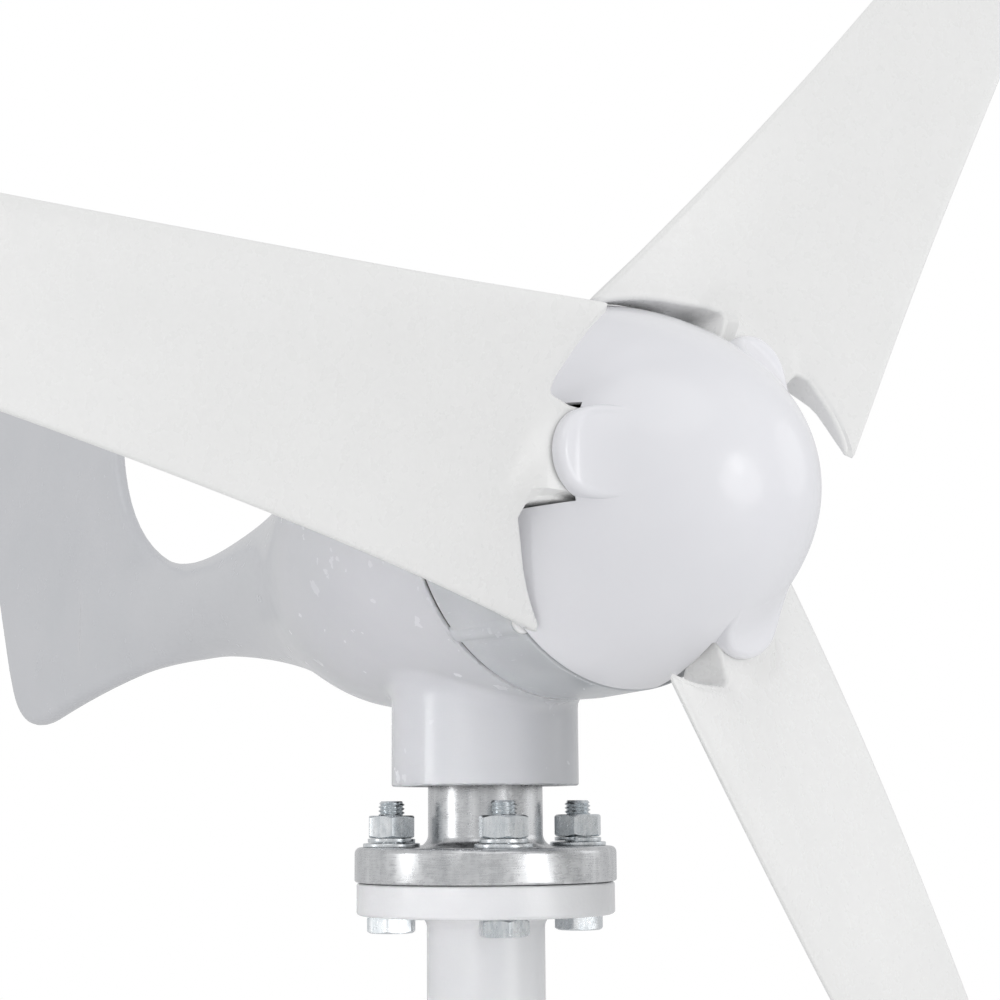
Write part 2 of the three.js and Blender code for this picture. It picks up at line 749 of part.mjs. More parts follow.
function plainBlade() {
  const steps = 13;
  const read = stationReader(BLADE_STATIONS);
  const rings = Array.from({ length: steps + 1 }, (_, i) => bladeSection(read(i / steps)));
  const rootDisc = rotorDisc(BLADE_ROOT_ARC, 60, 180, 54).translate([0, 0, -AXIS_Z]);
  const sheet = cut(loft(rings), rootDisc);
  const pad = padPrism(ROOT_PAD_START, ROOT_PAD_END, ROOT_PAD_HALF_WIDTH, [
    HUB_FRONT_X + GAP,
    ROOT_PAD_FRONT_X,
  ]);
  const holes = BLADE_BOLT_RADII.map((radius) => boltHoleX(radius, BLADE_BOLT_HOLE, 90, 130));
  return cut(join(sheet, pad), ...holes);
}

// A round-ended pad across the blade's root, between two x planes.
function padPrism(start, end, halfWidth, [back, front]) {
  const shape = new THREE.Shape();
  shape.moveTo(start, -halfWidth);
  shape.lineTo(end, -halfWidth);
  shape.absarc(end, 0, halfWidth, -Math.PI / 2, Math.PI / 2, false);
  shape.lineTo(start, halfWidth);
  shape.closePath();
  const geometry = new THREE.ExtrudeGeometry(shape, {
    depth: front - back,
    bevelEnabled: false,
    curveSegments: 7,
  });
  const basis = new THREE.Matrix4().set(0, 0, 1, back, 1, 0, 0, 0, 0, 1, 0, 0, 0, 0, 0, 1);
  geometry.applyMatrix4(basis);
  return solidOf(geometry);
}

function boltHoleX(radius, size, back, front) {
  return rotorDisc(size, back, front, 12).translate([0, radius, -AXIS_Z]);
}

function spinnerProfile(inset) {
  const steps = 8;
  const radius = SPINNER_RADIUS - inset;
  const length = SPINNER_LENGTH - inset;
  return Array.from({ length: steps + 1 }, (_, i) => {
    const u = Math.sin((Math.PI / 2) * (i / steps)) ** 1.4;
    const fall = Math.max(0, 1 - u ** SPINNER_POWER_X);
    return [radius * fall ** (1 / SPINNER_POWER_R), SPINNER_RIM_X + length * u];
  });
}

function spinnerShell() {
  const outer = spinnerProfile(0);
  const inner = spinnerProfile(SPINNER_WALL);
  const dome = aboutRotor([...outer.toReversed(), ...inner]);
  const centred = dome.translate([0, 0, -AXIS_Z]);
  const slotHalf = ROOT_PAD_HALF_WIDTH + 0.6;
  const slotFront = ROOT_PAD_FRONT_X + GAP;
  const parts = bladeTurns.map((turn) => {
    const degrees = 180 - THREE.MathUtils.radToDeg(turn);
    const slot = box([SPINNER_RIM_X - 5, slotFront], [40, 90], [-slotHalf, slotHalf]);
    const tongue = padPrism(48, TONGUE_TIP - TONGUE_HALF_WIDTH, TONGUE_HALF_WIDTH, [
      slotFront,
      slotFront + TONGUE_THICKNESS,
    ]);
    const post = box([HUB_FRONT_X + GAP, POST_FRONT_X], POST_RADII, [-5, 5]);
    return {
      slot: slot.rotate([degrees, 0, 0]),
      tongue: tongue.rotate([degrees, 0, 0]),
      post: post.rotate([degrees + 180, 0, 0]),
    };
  });
  const open = cut(centred, ...parts.map((p) => p.slot));
  const whole = join(open, ...parts.map((p) => p.tongue), ...parts.map((p) => p.post));
  return whole.translate([0, 0, AXIS_Z]);
}

function addRotor() {
  const bladeShape = plainBlade();
  const boltLow = HUB_BACK_X - 2;
  const headLow = ROOT_PAD_FRONT_X + GAP;
  const bladeBolt = (radius) =>
    join(
      boltHoleX(radius, BLADE_BOLT_RADIUS, boltLow, headLow + 1),
      boltHoleX(radius, BLADE_BOLT_HEAD_RADIUS, headLow, headLow + BLADE_BOLT_HEAD_HEIGHT),
    );
  bladeTurns.forEach((turn, i) => {
    addNode(`blade_${i + 1}`, atBlade(bladeShape, turn), "bladeWhite");
    BLADE_BOLT_RADII.forEach((radius, j) => {
      const number = 2 * i + j + 1;
      addNode(`blade_bolt_${number}`, atBlade(bladeBolt(radius), turn), "zincPlate");
    });
  });
  const hubBlank = aboutRotor([
    [SHAFT_RADIUS + GAP, HUB_BOSS_BACK_X],
    [HUB_BOSS_RADIUS, HUB_BOSS_BACK_X],
    [HUB_BOSS_RADIUS, HUB_BACK_X],
    [HUB_RADIUS, HUB_BACK_X],
    [HUB_RADIUS, HUB_FRONT_X],
    [SHAFT_RADIUS + GAP, HUB_FRONT_X],
    [SHAFT_RADIUS + GAP, HUB_BOSS_BACK_X],
  ]);
  const holes = bladeTurns.flatMap((turn) =>
    BLADE_BOLT_RADII.map((radius) => atBlade(boltHoleX(radius, BLADE_BOLT_HOLE, 80, 120), turn)),
  );
  addNode("rotor_hub", cut(hubBlank, ...holes), "turnedAluminium");
  const washerLow = HUB_FRONT_X + GAP;
  const washerTop = washerLow + HUB_WASHER_THICKNESS;
  const bore = HUB_THREAD_RADIUS + GAP;
  const washer = rotorRing(bore, HUB_WASHER_RADIUS, washerLow, washerTop, SMALL_SIDES);
  addNode("hub_washer", washer, "zincPlate");
  const nutLow = washerTop + GAP;
  const nutTop = nutLow + HUB_NUT_HEIGHT;
  const nut = cut(
    hexagon(HUB_NUT_FLATS, nutLow, nutTop),
    mastDisc(bore, nutLow - 1, nutTop + 1, SMALL_SIDES),
  );
  addNode("hub_nut", nut.rotate([0, 90, 0]).translate([0, 0, AXIS_Z]), "zincPlate");
  addNode("spinner", spinnerShell(), "spinnerWhite");
}

// ---- assembly ----
addNode("mast_tube_flange", mastTubeFlange(), "tubeWhite");
addNode("swivel_shaft", swivelShaft(), "turnedAluminium");
addMastFasteners();
addYawTrain();
addNode("nacelle_housing", nacelleHousing(), "castGrey");
addNode("front_cover", frontCover(), "castGrey");
addCoverScrews();
addStator();
addRotorShaftTrain();
addRotor();

export default root;
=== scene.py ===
"""Looks of a small three-blade wind turbine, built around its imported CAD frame.

Shapes are worked out in millimetres in the CAD frame. The yaw axis is Z, and the rotor axis is X at AXIS_Z.
"""

import json
import math

import bmesh
import bpy
import numpy as np
from mathutils import Matrix, Vector


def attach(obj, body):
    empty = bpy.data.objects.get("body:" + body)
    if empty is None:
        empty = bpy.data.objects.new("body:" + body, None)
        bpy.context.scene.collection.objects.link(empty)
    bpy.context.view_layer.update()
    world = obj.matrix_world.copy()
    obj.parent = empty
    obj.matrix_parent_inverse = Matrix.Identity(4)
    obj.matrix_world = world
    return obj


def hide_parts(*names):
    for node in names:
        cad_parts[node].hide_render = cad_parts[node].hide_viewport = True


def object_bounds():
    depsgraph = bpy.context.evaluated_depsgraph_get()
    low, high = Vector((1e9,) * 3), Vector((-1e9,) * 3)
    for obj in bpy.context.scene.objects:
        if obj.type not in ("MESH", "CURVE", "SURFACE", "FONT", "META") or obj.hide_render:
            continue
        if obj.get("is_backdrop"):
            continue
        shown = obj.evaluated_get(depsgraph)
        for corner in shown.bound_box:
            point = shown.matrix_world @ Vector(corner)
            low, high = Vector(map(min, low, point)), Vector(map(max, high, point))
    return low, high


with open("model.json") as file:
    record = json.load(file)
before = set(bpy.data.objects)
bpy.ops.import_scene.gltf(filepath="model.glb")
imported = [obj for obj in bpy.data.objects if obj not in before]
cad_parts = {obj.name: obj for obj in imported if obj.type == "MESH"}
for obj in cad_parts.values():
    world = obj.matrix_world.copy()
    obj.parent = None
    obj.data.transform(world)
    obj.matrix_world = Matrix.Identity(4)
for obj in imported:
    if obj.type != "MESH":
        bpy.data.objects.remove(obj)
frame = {"nodes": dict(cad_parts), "record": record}
cad_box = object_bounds()

MM = 0.001

# ---- driving dimensions, in millimetres ----
TUBE_LENGTH = 150.0
TUBE_RADIUS = 22.5
TUBE_BORE = 19.5
LOWER_FLANGE_RADIUS = 49.2
SEAM_Z = 162.0
GAP = 0.3
SWIVEL_FLANGE_RADIUS = 50.0
SWIVEL_FLANGE_TOP = 175.3
SWIVEL_SHAFT_RADIUS = 22.0
SWIVEL_SEAT = 17.5
SWIVEL_BORE = 8.0
BOLT_CIRCLE = 36.3
BOLT_TURN = math.radians(-27.8)
BOLT_HOLE = 5.5
NECK_BOTTOM = 198.1
NECK_RADIUS = 36.0
YAW_SHOULDER = 201.5
YAW_SHAFT_TOP = 240.0
YAW_BORE = 31.0

AXIS_Z = 300.6
BODY_JOINT_X = 46.5
BODY_RADIUS = 71.8
SHELL_BORE = 67.3
COVER_FRONT_X = 79.0
COVER_FRONT_RADIUS = 70.2
SEAM_RING_RADIUS = 71.1
LUG_CIRCLE = 67.0
LUG_RADIUS = 5.4
LUG_TURNS = [math.radians(45 + 90 * i) for i in range(4)]
LUG_PLACES = [(LUG_CIRCLE * math.cos(turn), LUG_CIRCLE * math.sin(turn)) for turn in LUG_TURNS]

SPINNER_RIM_X = 83.0
SKIRT_X = 82.4
COVER_LIP_X = 81.5
SPINNER_LENGTH = 74.8
SPINNER_RADIUS = 69.7
SPINNER_WALL = 3.0
SPINNER_POWER_X = 1.19
SPINNER_POWER_R = 2.34
TONGUE_HALF_WIDTH = 15.9
TONGUE_SIDE = 0.6
TONGUE_TIP = 64.8
TONGUE_START = 43.0
TONGUE_EDGE = 3.0
TONGUE_LIFT = 0.25
TONGUE_HEIGHT = 5.0
TONGUE_BLEND = 12.0
SLOT_BACK_X = 77.0
SLOT_RADII = (38, 92)
SLOT_LEAD = 17.9
SLOT_TRAIL = (-20.2, -15.8)

HUB_BACK_X = 92.5
HUB_FRONT_X = 101.7
HUB_RADIUS = 58.0
HUB_BORE = 10.2
HUB_BOSS = 20.0
BLADE_TURNS = [math.radians(4.58 + 120 * i) for i in range(3)]
BLADE_PLANE_X = 117.1
ROOT_ARC = 71.2
BLADE_TIP = 599.2
PAD_START = 18.0
PAD_END = 70.0
PAD_HALF_WIDTH = 17.3
PAD_SIDE = 0.3
PAD_DRAFT = 1.6
PAD_FRONT_X = 117.8

# x, rise of the section's centre over the rotor axis, half height, half width
BODY_STATIONS = [
    [46.5, 0, 71.8, 71.8],
    [12, -0.3, 71.8, 71.6],
    [-25, -2.7, 68.8, 68],
    [-60, -8.8, 60.3, 59],
    [-93, -11.9, 45.9, 45],
    [-122, -13.2, 36.7, 35.5],
    [-160, -14.4, 28.9, 26.5],
    [-200, -15.7, 23.8, 19],
    [-240, -16, 22.3, 12.5],
    [-285, -16, 20, 7],
    [-330, -16, 15, 3.6],
]

# radius, leading-edge offset, trailing-edge offset, mid-chord lead over the blade plane, pitch, thickness
BLADE_STATIONS = [
    [40, 51.8, -56.6, -9, 20, 8.5],
    [75, 47.7, -52, -3.6, 16.8, 8.5],
    [110, 43.4, -47.5, 1.4, 13.6, 8],
    [160, 37.5, -41.5, 7.8, 9.9, 7],
    [220, 30.4, -34.9, 14.8, 7.4, 6],
    [300, 21.3, -27.4, 22.2, 6, 5],
    [400, 13.8, -22.2, 27, 5, 4],
    [500, 9.6, -18.8, 30, 4, 3.2],
    [600, 6.6, -15.8, 32.1, 3.1, 2.4],
]


# ---- small mathematics ----
def unit(v):
    v = np.asarray(v, float)
    return v / np.linalg.norm(v)


def stack(*values):
    """Numbers or arrays side by side, as the coordinates of points."""
    return np.stack(np.broadcast_arrays(*values), axis=-1)


def smoothstep(t):
    t = np.clip(t, 0, 1)
    return t * t * (3 - 2 * t)


class Spline:
    """A natural cubic spline through rows of (place, value, value, ...)."""

    def __init__(self, rows):
        rows = np.array(sorted(rows), float)
        self.x, self.y = rows[:, 0], rows[:, 1:]
        h = np.diff(self.x)
        n = len(self.x)
        system = np.eye(n)
        known = np.zeros((n, self.y.shape[1]))
        slope = np.diff(self.y, axis=0) / h[:, None]
        for i in range(1, n - 1):
            system[i, i - 1 : i + 2] = h[i - 1], 2 * (h[i - 1] + h[i]), h[i]
            known[i] = 6 * (slope[i] - slope[i - 1])
        self.bend = np.linalg.solve(system, known)

    def __call__(self, x, column):
        x = np.clip(x, self.x[0], self.x[-1])
        i = np.clip(np.searchsorted(self.x, x) - 1, 0, len(self.x) - 2)
        h = self.x[i + 1] - self.x[i]
        a = (self.x[i + 1] - x) / h
        b = (x - self.x[i]) / h
        y, m = self.y[:, column], self.bend[:, column]
        bent = ((a**3 - a) * m[i] + (b**3 - b) * m[i + 1]) * h**2 / 6
        return a * y[i] + b * y[i + 1] + bent


def rounded(corners, steps=5):
    """A closed outline from (a, b) or (a, b, fillet) corners, with each fillet as an arc."""
    points = []
    for i, corner in enumerate(corners):
        here = np.array(corner[:2], float)
        if len(corner) < 3:
            points.append(here)
            continue
        before = unit(np.array(corners[i - 1][:2]) - here)
        after = unit(np.array(corners[(i + 1) % len(corners)][:2]) - here)
        half = math.acos(np.clip(before @ after, -1, 1)) / 2
        centre = here + unit(before + after) * corner[2] / math.sin(half)
        start = here + before * corner[2] / math.tan(half) - centre
        end = here + after * corner[2] / math.tan(half) - centre
        sweep = math.pi - 2 * half
        for k in range(steps + 1):
            t = k / steps
            arc = math.sin((1 - t) * sweep) * start + math.sin(t * sweep) * end
            points.append(centre + arc / math.sin(sweep))
    return np.array(points)


# ---- meshes ----
def grid_faces(rows, columns, close_rows=False, close_columns=False):
    """Quads of a rows by columns grid of vertices."""
    faces = []
    for i in range(rows if close_rows else rows - 1):
        for j in range(columns if close_columns else columns - 1):
            a = i * columns + j
            b = i * columns + (j + 1) % columns
            c = ((i + 1) % rows) * columns + (j + 1) % columns
            d = ((i + 1) % rows) * columns + j
            faces.append((a, b, c, d))
    return faces


def new_mesh(name, vertices, faces, weld=0.002):
    """A welded mesh object whose faces point out."""
    mesh = bpy.data.meshes.new(name)
    mesh.from_pydata((np.asarray(vertices, float) * MM).tolist(), [], faces)
    work = bmesh.new()
    work.from_mesh(mesh)
    if weld:
        bmesh.ops.remove_doubles(work, verts=work.verts, dist=weld * MM)
        bmesh.ops.dissolve_degenerate(work, edges=work.edges, dist=weld * MM)
    bmesh.ops.delete(work, geom=[e for e in work.edges if not e.link_faces], context="EDGES")
    bmesh.ops.delete(work, geom=[v for v in work.verts if not v.link_faces], context="VERTS")
    bmesh.ops.recalc_face_normals(work, faces=work.faces)
    work.to_mesh(mesh)
    work.free()
    obj = bpy.data.objects.new(name, mesh)
    bpy.context.scene.collection.objects.link(obj)
    return obj


def finish_piece(obj, body, slot, nodes=(), sharp=32, material=None):
    """Gives a piece its slot's or its own material, its shading and its body, and hides the CAD nodes it
    stands for.
    """
    obj.data.materials.clear()
    obj.data.materials.append(material or FINISH[slot])
    obj.data.shade_smooth()
    obj.data.set_sharp_from_angle(angle=math.radians(sharp))
    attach(obj, body)
    if nodes:
        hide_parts(*nodes)
    return obj


def turned(outline, segments=128):
    """Revolves a closed (radius, height) outline about +Z."""
    outline = np.asarray(outline, float)
    turns = np.linspace(0, 2 * np.pi, segments, endpoint=False)
    radius, height = outline[:, 0][:, None], outline[:, 1][:, None]
    grid = stack(radius * np.cos(turns), radius * np.sin(turns), height)
    return grid.reshape(-1, 3), grid_faces(len(outline), segments, True, True)


def to_rotor_axis(vertices):
    """Turns a piece made about +Z so that +Z becomes +X on the rotor axis."""
    x, y, z = np.asarray(vertices, float).T
    return stack(z, y, AXIS_Z - x)


def modified(obj, kind, **settings):
    """Applies one modifier to the object's mesh."""
    modifier = obj.modifiers.new(kind.lower(), kind)
    for key, value in settings.items():
        setattr(modifier, key, value)
    depsgraph = bpy.context.evaluated_depsgraph_get()
    made = bpy.data.meshes.new_from_object(obj.evaluated_get(depsgraph))
    obj.modifiers.clear()
    old = obj.data
    obj.data = made
    bpy.data.meshes.remove(old)
    return obj


def combined(obj, tool, operation):
    """Joins or cuts obj with tool, which is used up."""
    modified(obj, "BOOLEAN", object=tool, operation=operation, solver="MANIFOLD")
    data = tool.data
    bpy.data.objects.remove(tool)
    bpy.data.meshes.remove(data)
    return obj


def drum(name, radius, low, high, place=(0, 0), segments=64):
    """A plain cylinder along Z, used as a cutting tool."""
    vertices, faces = turned([(0, low), (radius, low), (radius, high), (0, high)], segments)
    return new_mesh(name, vertices + np.array([place[0], place[1], 0]), faces)


# ---- materials ----
PAINT_COAT = 0.4
PAINT_COAT_ROUGHNESS = 0.06


class Nodes:
    """A short way to write a shader's nodes."""

    def __init__(self, name):
        self.material = bpy.data.materials.new(name)
        self.material.use_nodes = True
        self.tree = self.material.node_tree
        self.shader = self.tree.nodes["Principled BSDF"]
        self.place = self.tree.nodes.new("ShaderNodeTexCoord").outputs["Object"]

    def put(self, inputs, values):
        """Links or sets each input in values; a plain colour gets its alpha."""
        for key, value in values.items():
            socket = inputs[key]
            if isinstance(value, bpy.types.NodeSocket):
                self.tree.links.new(value, socket)
            elif socket.type == "RGBA":
                socket.default_value = (*value, 1)
            else:
                socket.default_value = value

    def add(self, kind, settings=None, **values):
        node = self.tree.nodes.new("ShaderNode" + kind)
        for key, value in (settings or {}).items():
            setattr(node, key, value)
        self.put(node.inputs, values)
        return node

    def math(self, operation, a, b=0.0):
        node = self.add("Math", {"operation": operation})
        self.put(node.inputs, {0: a, 1: b})
        return node.outputs[0]

    def stretched(self, scale):
        return self.add("Mapping", Vector=self.place, Scale=scale).outputs[0]

    def noise(self, size_mm, detail=3.0, rough=0.5, vector=None):
        """Noise whose cells are about size_mm across."""
        vector = self.place if vector is None else vector
        node = self.add("TexNoise", Vector=vector, Scale=1 / (size_mm * MM), Detail=detail, Roughness=rough)
        return node.outputs[0]

    def ramp(self, value, *stops):
        """A colour ramp from (place, colour) stops."""
        node = self.add("ValToRGB", Fac=value)
        elements = node.color_ramp.elements
        while len(elements) < len(stops):
            elements.new(0.5)
        for element, (place, colour) in zip(elements, stops):
            element.position = place
            element.color = (*colour, 1)
        return node.outputs[0]

    def between(self, value, low, high, start=0.3, end=0.7):
        """value from start..end carried to low..high."""
        node = self.add("MapRange", Value=value)
        self.put(node.inputs, {"From Min": start, "From Max": end, "To Min": low, "To Max": high})
        return node.outputs[0]

    def mix(self, share, a, b):
        node = self.add("Mix", {"data_type": "RGBA"})
        self.put(node.inputs, {0: share, 6: a, 7: b})
        return node.outputs[2]

    def bump(self, height, depth_mm, under=None):
        values = {} if under is None else {"Normal": under}
        return self.add("Bump", Height=height, Strength=1.0, Distance=depth_mm * MM, **values).outputs[0]

    def finished(self, **values):
        """Puts the values on the shader; names use _ for a space."""
        self.put(self.shader.inputs, {key.replace("_", " "): value for key, value in values.items()})
        return self.material


def painted(name, dark, light, roughness, peel_mm, peel_depth):
    """Gloss paint: faint shade clouds, and an orange-peel skin."""
    n = Nodes(name)
    shade = n.ramp(n.noise(38, 4, 0.55), (0.3, dark), (0.7, light))
    return n.finished(
        Base_Color=n.mix(0.06, shade, n.ramp(n.noise(1.1, 2), (0.35, dark), (0.65, light))),
        Roughness=n.between(n.noise(9), roughness - 0.03, roughness + 0.04),
        Normal=n.bump(n.noise(peel_mm, 2, 0.45), peel_depth),
        Coat_Weight=PAINT_COAT,
        Coat_Roughness=PAINT_COAT_ROUGHNESS,
        IOR=1.5,
    )


def spinner_gloss():
    """Smooth moulded plastic with a faint long wave in its gloss."""
    n = Nodes("spinner_gloss")
    return n.finished(
        Base_Color=n.ramp(n.noise(45), (0.3, (0.85, 0.85, 0.885)), (0.7, (0.875, 0.875, 0.905))),
        Roughness=n.between(n.noise(6), 0.2, 0.27),
        Normal=n.bump(n.noise(0.7, 2), 0.001, under=n.bump(n.noise(14, 1, 0.3), 0.02)),
        Coat_Weight=0.25,
        Coat_Roughness=0.14,
    )


def blade_plastic():
    """Filled nylon: a warm white with flow clouds along the blade and a fine moulded grain."""
    n = Nodes("blade_plastic")
    clouds = n.ramp(n.noise(30, 4, 0.6), (0.3, (0.85, 0.85, 0.84)), (0.7, (0.87, 0.87, 0.86)))
    specks = n.ramp(n.noise(0.9, 2), (0.3, (0.83, 0.83, 0.82)), (0.7, (0.88, 0.88, 0.87)))
    return n.finished(
        Base_Color=n.mix(0.15, clouds, specks),
        Roughness=n.between(n.noise(5, 4), 0.24, 0.34),
        Normal=n.bump(n.noise(1.6), 0.0015, under=n.bump(n.noise(34, 1), 0.02)),
        IOR=1.52,
    )


def tube_paint():
    """Thick gloss paint with orange peel and a few chips down to the metal."""
    n = Nodes("tube_paint")
    shade = n.ramp(n.noise(30, 4), (0.3, (0.735, 0.74, 0.755)), (0.7, (0.77, 0.775, 0.785)))
    spots = n.add("TexVoronoi", {"feature": "F1"}, Vector=n.place, Scale=38).outputs["Distance"]
    ragged = n.math("ADD", spots, n.between(n.noise(2.2), -0.035, 0.035))
    chipped = n.between(ragged, 1.0, 0.0, 0.028, 0.045)
    peel = n.bump(n.noise(2.8, 2, 0.45), 0.09)
    return n.finished(
        Base_Color=n.mix(chipped, shade, (0.33, 0.33, 0.34)),
        Roughness=n.between(n.noise(7), 0.16, 0.26),
        Normal=n.bump(n.math("MULTIPLY", chipped, -1.0), 0.12, under=peel),
        Coat_Weight=PAINT_COAT,
        Coat_Roughness=PAINT_COAT_ROUGHNESS,
    )


def axis_place(n, about_rotor):
    """(radius, height, turn) round the yaw or the rotor axis, as sockets in metres and turns."""
    split = n.add("SeparateXYZ", Vector=n.place).outputs
    if about_rotor:
        a, b, height = split[1], n.math("SUBTRACT", split[2], AXIS_Z * MM), split[0]
    else:
        a, b, height = split[0], split[1], split[2]
    radius = n.math("SQRT", n.math("ADD", n.math("MULTIPLY", a, a), n.math("MULTIPLY", b, b)))
    return radius, height, n.math("ARCTAN2", b, a)


def turned_metal(name, dark, light, roughness, about_rotor=False, lines=1.0, mottle=1.0):
    """Lathe-turned metal: fine rings along the cut, soft bands round it that are painted streak highlights,
    and faint handling marks.
    """
    n = Nodes(name)
    radius, height, turn = axis_place(n, about_rotor)
    cut = n.add("CombineXYZ", X=radius, Y=height, Z=n.math("MULTIPLY", turn, 0.004)).outputs[0]
    highlight_streak_turn = n.add("CombineXYZ", X=n.math("MULTIPLY", turn, 0.05)).outputs[0]
    rings = n.noise(0.45, 3, 0.65, cut)
    marks = n.noise(4.5, 6, 0.62)
    # painted highlights: lighter and darker streaks along the axis, changing only with the turn round it
    colour = n.ramp(n.noise(9, 3, 0.55, highlight_streak_turn), (0.32, dark), (0.66, light))
    colour = n.mix(0.5 * mottle, colour, n.ramp(marks, (0.36, dark), (0.6, light)))
    marked = n.between(marks, roughness - 0.05, roughness + 0.12 * mottle)
    return n.finished(
        Base_Color=n.mix(0.3, colour, n.ramp(rings, (0.3, dark), (0.7, light))),
        Metallic=1.0,
        Roughness=n.math("ADD", marked, n.between(rings, -0.04, 0.06)),
        Normal=n.bump(rings, 0.02 * lines, under=n.bump(marks, 0.006 * mottle)),
    )


def zinc_plate():
    """Bright zinc: a little blue, with small soft crystals and streaks along the axis."""
    n = Nodes("zinc_plate")
    marks = n.noise(2.4, 5, 0.6)
    streaks = n.noise(1.6, 4, 0.6, n.stretched((1, 1, 0.16)))
    crystals = n.ramp(n.noise(7), (0.3, (0.66, 0.71, 0.74)), (0.7, (0.84, 0.86, 0.87)))
    worn = n.ramp(streaks, (0.36, (0.56, 0.6, 0.63)), (0.6, (0.92, 0.93, 0.94)))
    return n.finished(
        Base_Color=n.mix(0.45, crystals, worn),
        Metallic=1.0,
        Roughness=n.between(marks, 0.2, 0.36),
        Normal=n.bump(n.noise(0.6, 3, 0.6), 0.006, under=n.bump(marks, 0.016)),
    )


def banded(name, dark, light, roughness, pitch_mm, depth_mm, metallic, about_rotor=True):
    """Thin layers side by side along the axis, such as laminations or windings."""
    n = Nodes(name)
    _, height, _ = axis_place(n, about_rotor)
    phase = n.math("FRACT", n.math("DIVIDE", height, pitch_mm * MM))
    ridge = n.math("ABSOLUTE", n.math("SUBTRACT", phase, 0.5))
    stain = n.noise(8, 4)
    colour = n.mix(n.between(stain, 0.0, 1.0), dark, light)
    colour = n.mix(n.between(ridge, 0.0, 0.6, 0.35, 0.5), colour, tuple(0.35 * c for c in dark))
    return n.finished(
        Base_Color=colour,
        Metallic=metallic,
        Roughness=n.between(stain, roughness - 0.05, roughness + 0.1),
        Normal=n.bump(ridge, depth_mm),
    )


def moulded(name, dark, light, roughness, grain_mm, depth_mm):
    """Plain moulded rubber, carbon or plastic with a fine grain."""
    n = Nodes(name)
    grain = n.noise(grain_mm, 4, 0.6)
    return n.finished(
        Base_Color=n.ramp(n.noise(9, 3), (0.3, dark), (0.7, light)),
        Roughness=n.between(grain, roughness - 0.08, roughness + 0.08),
        Normal=n.bump(grain, depth_mm),
    )


def shaded_cover_with_glints():
    """The housing's paint, made darker as painted shade on the cover, with a few short scratches painted
    bright as glints.
    """
    n = Nodes("cover_grey")
    # painted shade: the same grey paint as the housing, darker for the shade that falls on the cover
    shade = n.ramp(n.noise(30, 4, 0.55), (0.3, (0.53, 0.55, 0.575)), (0.7, (0.585, 0.6, 0.62)))
    # painted glints: short bright scratch strokes, lighter than the paint
    lines = n.between(n.noise(2.2, 2, 0.5, n.stretched((0.35, 1.6, 2.6))), 0.0, 1.0, 0.66, 0.7)
    where = n.between(n.noise(24, 2), 0.0, 0.8, 0.52, 0.6)
    scratch_glints = n.math("MULTIPLY", lines, where)
    return n.finished(
        Base_Color=n.mix(scratch_glints, shade, (0.82, 0.84, 0.85)),
        Roughness=n.between(n.noise(9), 0.2, 0.28),
        Normal=n.bump(scratch_glints, 0.02, under=n.bump(n.noise(2.2, 2, 0.45), 0.006)),
        Coat_Weight=PAINT_COAT,
        Coat_Roughness=PAINT_COAT_ROUGHNESS,
    )


FINISH = {
    "cast_grey": painted("cast_grey", (0.625, 0.635, 0.66), (0.655, 0.66, 0.685), 0.24, 2.2, 0.006),
    "spinner_white": spinner_gloss(),
    "blade_white": blade_plastic(),
    "tube_white": tube_paint(),
    "turned_aluminium": turned_metal(
        "turned_aluminium", (0.46, 0.47, 0.485), (0.86, 0.865, 0.87), 0.26, mottle=0.7),
    "zinc_plate": zinc_plate(),
    "bearing_steel": turned_metal(
        "bearing_steel", (0.34, 0.34, 0.35), (0.5, 0.5, 0.51), 0.22, True, 0.4, 0.5),
    "lamination": banded("lamination", (0.14, 0.15, 0.16), (0.27, 0.28, 0.29), 0.45, 0.65, 0.08, 0.9),
    "copper": banded("copper_winding", (0.48, 0.19, 0.07), (0.66, 0.3, 0.12), 0.3, 1.1, 0.3, 1.0),
    "brass": turned_metal("brass", (0.55, 0.42, 0.18), (0.72, 0.58, 0.28), 0.2, False, 0.5, 0.4),
    "carbon": moulded("carbon", (0.02, 0.02, 0.021), (0.035, 0.035, 0.037), 0.6, 0.3, 0.02),
    "rubber": moulded("rubber", (0.012, 0.012, 0.012), (0.02, 0.02, 0.02), 0.7, 0.5, 0.02),
    "black_plastic": moulded("black_plastic", (0.015, 0.015, 0.017), (0.026, 0.026, 0.028), 0.42, 0.6, 0.02),
}


# ---- mast end ----
CONTACT = 0.05
HEX_FLATS = 17.0
HEAD_HEIGHT = 6.4
NUT_HEIGHT = 8.4
BOLT_RADIUS = 5.0
STUD_PROUD = 5.4
THREAD_PITCH = 1.5
THREAD_DEPTH = 0.92
WASHER_THICKNESS = 1.5
FLAT_WASHER_RADII = (5.4, 10.8)
SPRING_WASHER_RADII = (5.3, 9.0)


def bolt_places():
    for i in range(4):
        turn = BOLT_TURN + i * math.pi / 2
        yield i + 1, turn, (BOLT_CIRCLE * math.cos(turn), BOLT_CIRCLE * math.sin(turn))


def drilled_flange(name, outline, low, high):
    obj = new_mesh(name, *turned(outline, 160))
    for number, _, place in bolt_places():
        combined(obj, drum(f"{name}_hole_{number}", BOLT_HOLE, low, high, place, 48), "DIFFERENCE")
    return obj


def mast_tube_flange():
    """Tube, weld fillet and lower flange. The weld's foot is a soft double curve."""
    outline = rounded([
        (TUBE_BORE, 0.0, 0.6),
        (TUBE_RADIUS, 0.0, 0.8),
        (TUBE_RADIUS, TUBE_LENGTH, 5.0),
        (LOWER_FLANGE_RADIUS, TUBE_LENGTH, 1.4),
        (LOWER_FLANGE_RADIUS, SEAM_Z, 1.1),
        (TUBE_BORE, SEAM_Z, 0.5),
    ], 8)
    obj = drilled_flange("mast_flange_painted", outline, TUBE_LENGTH - 6, SEAM_Z + 6)
    finish_piece(obj, "mast", "tube_white", ["mast_tube_flange"])


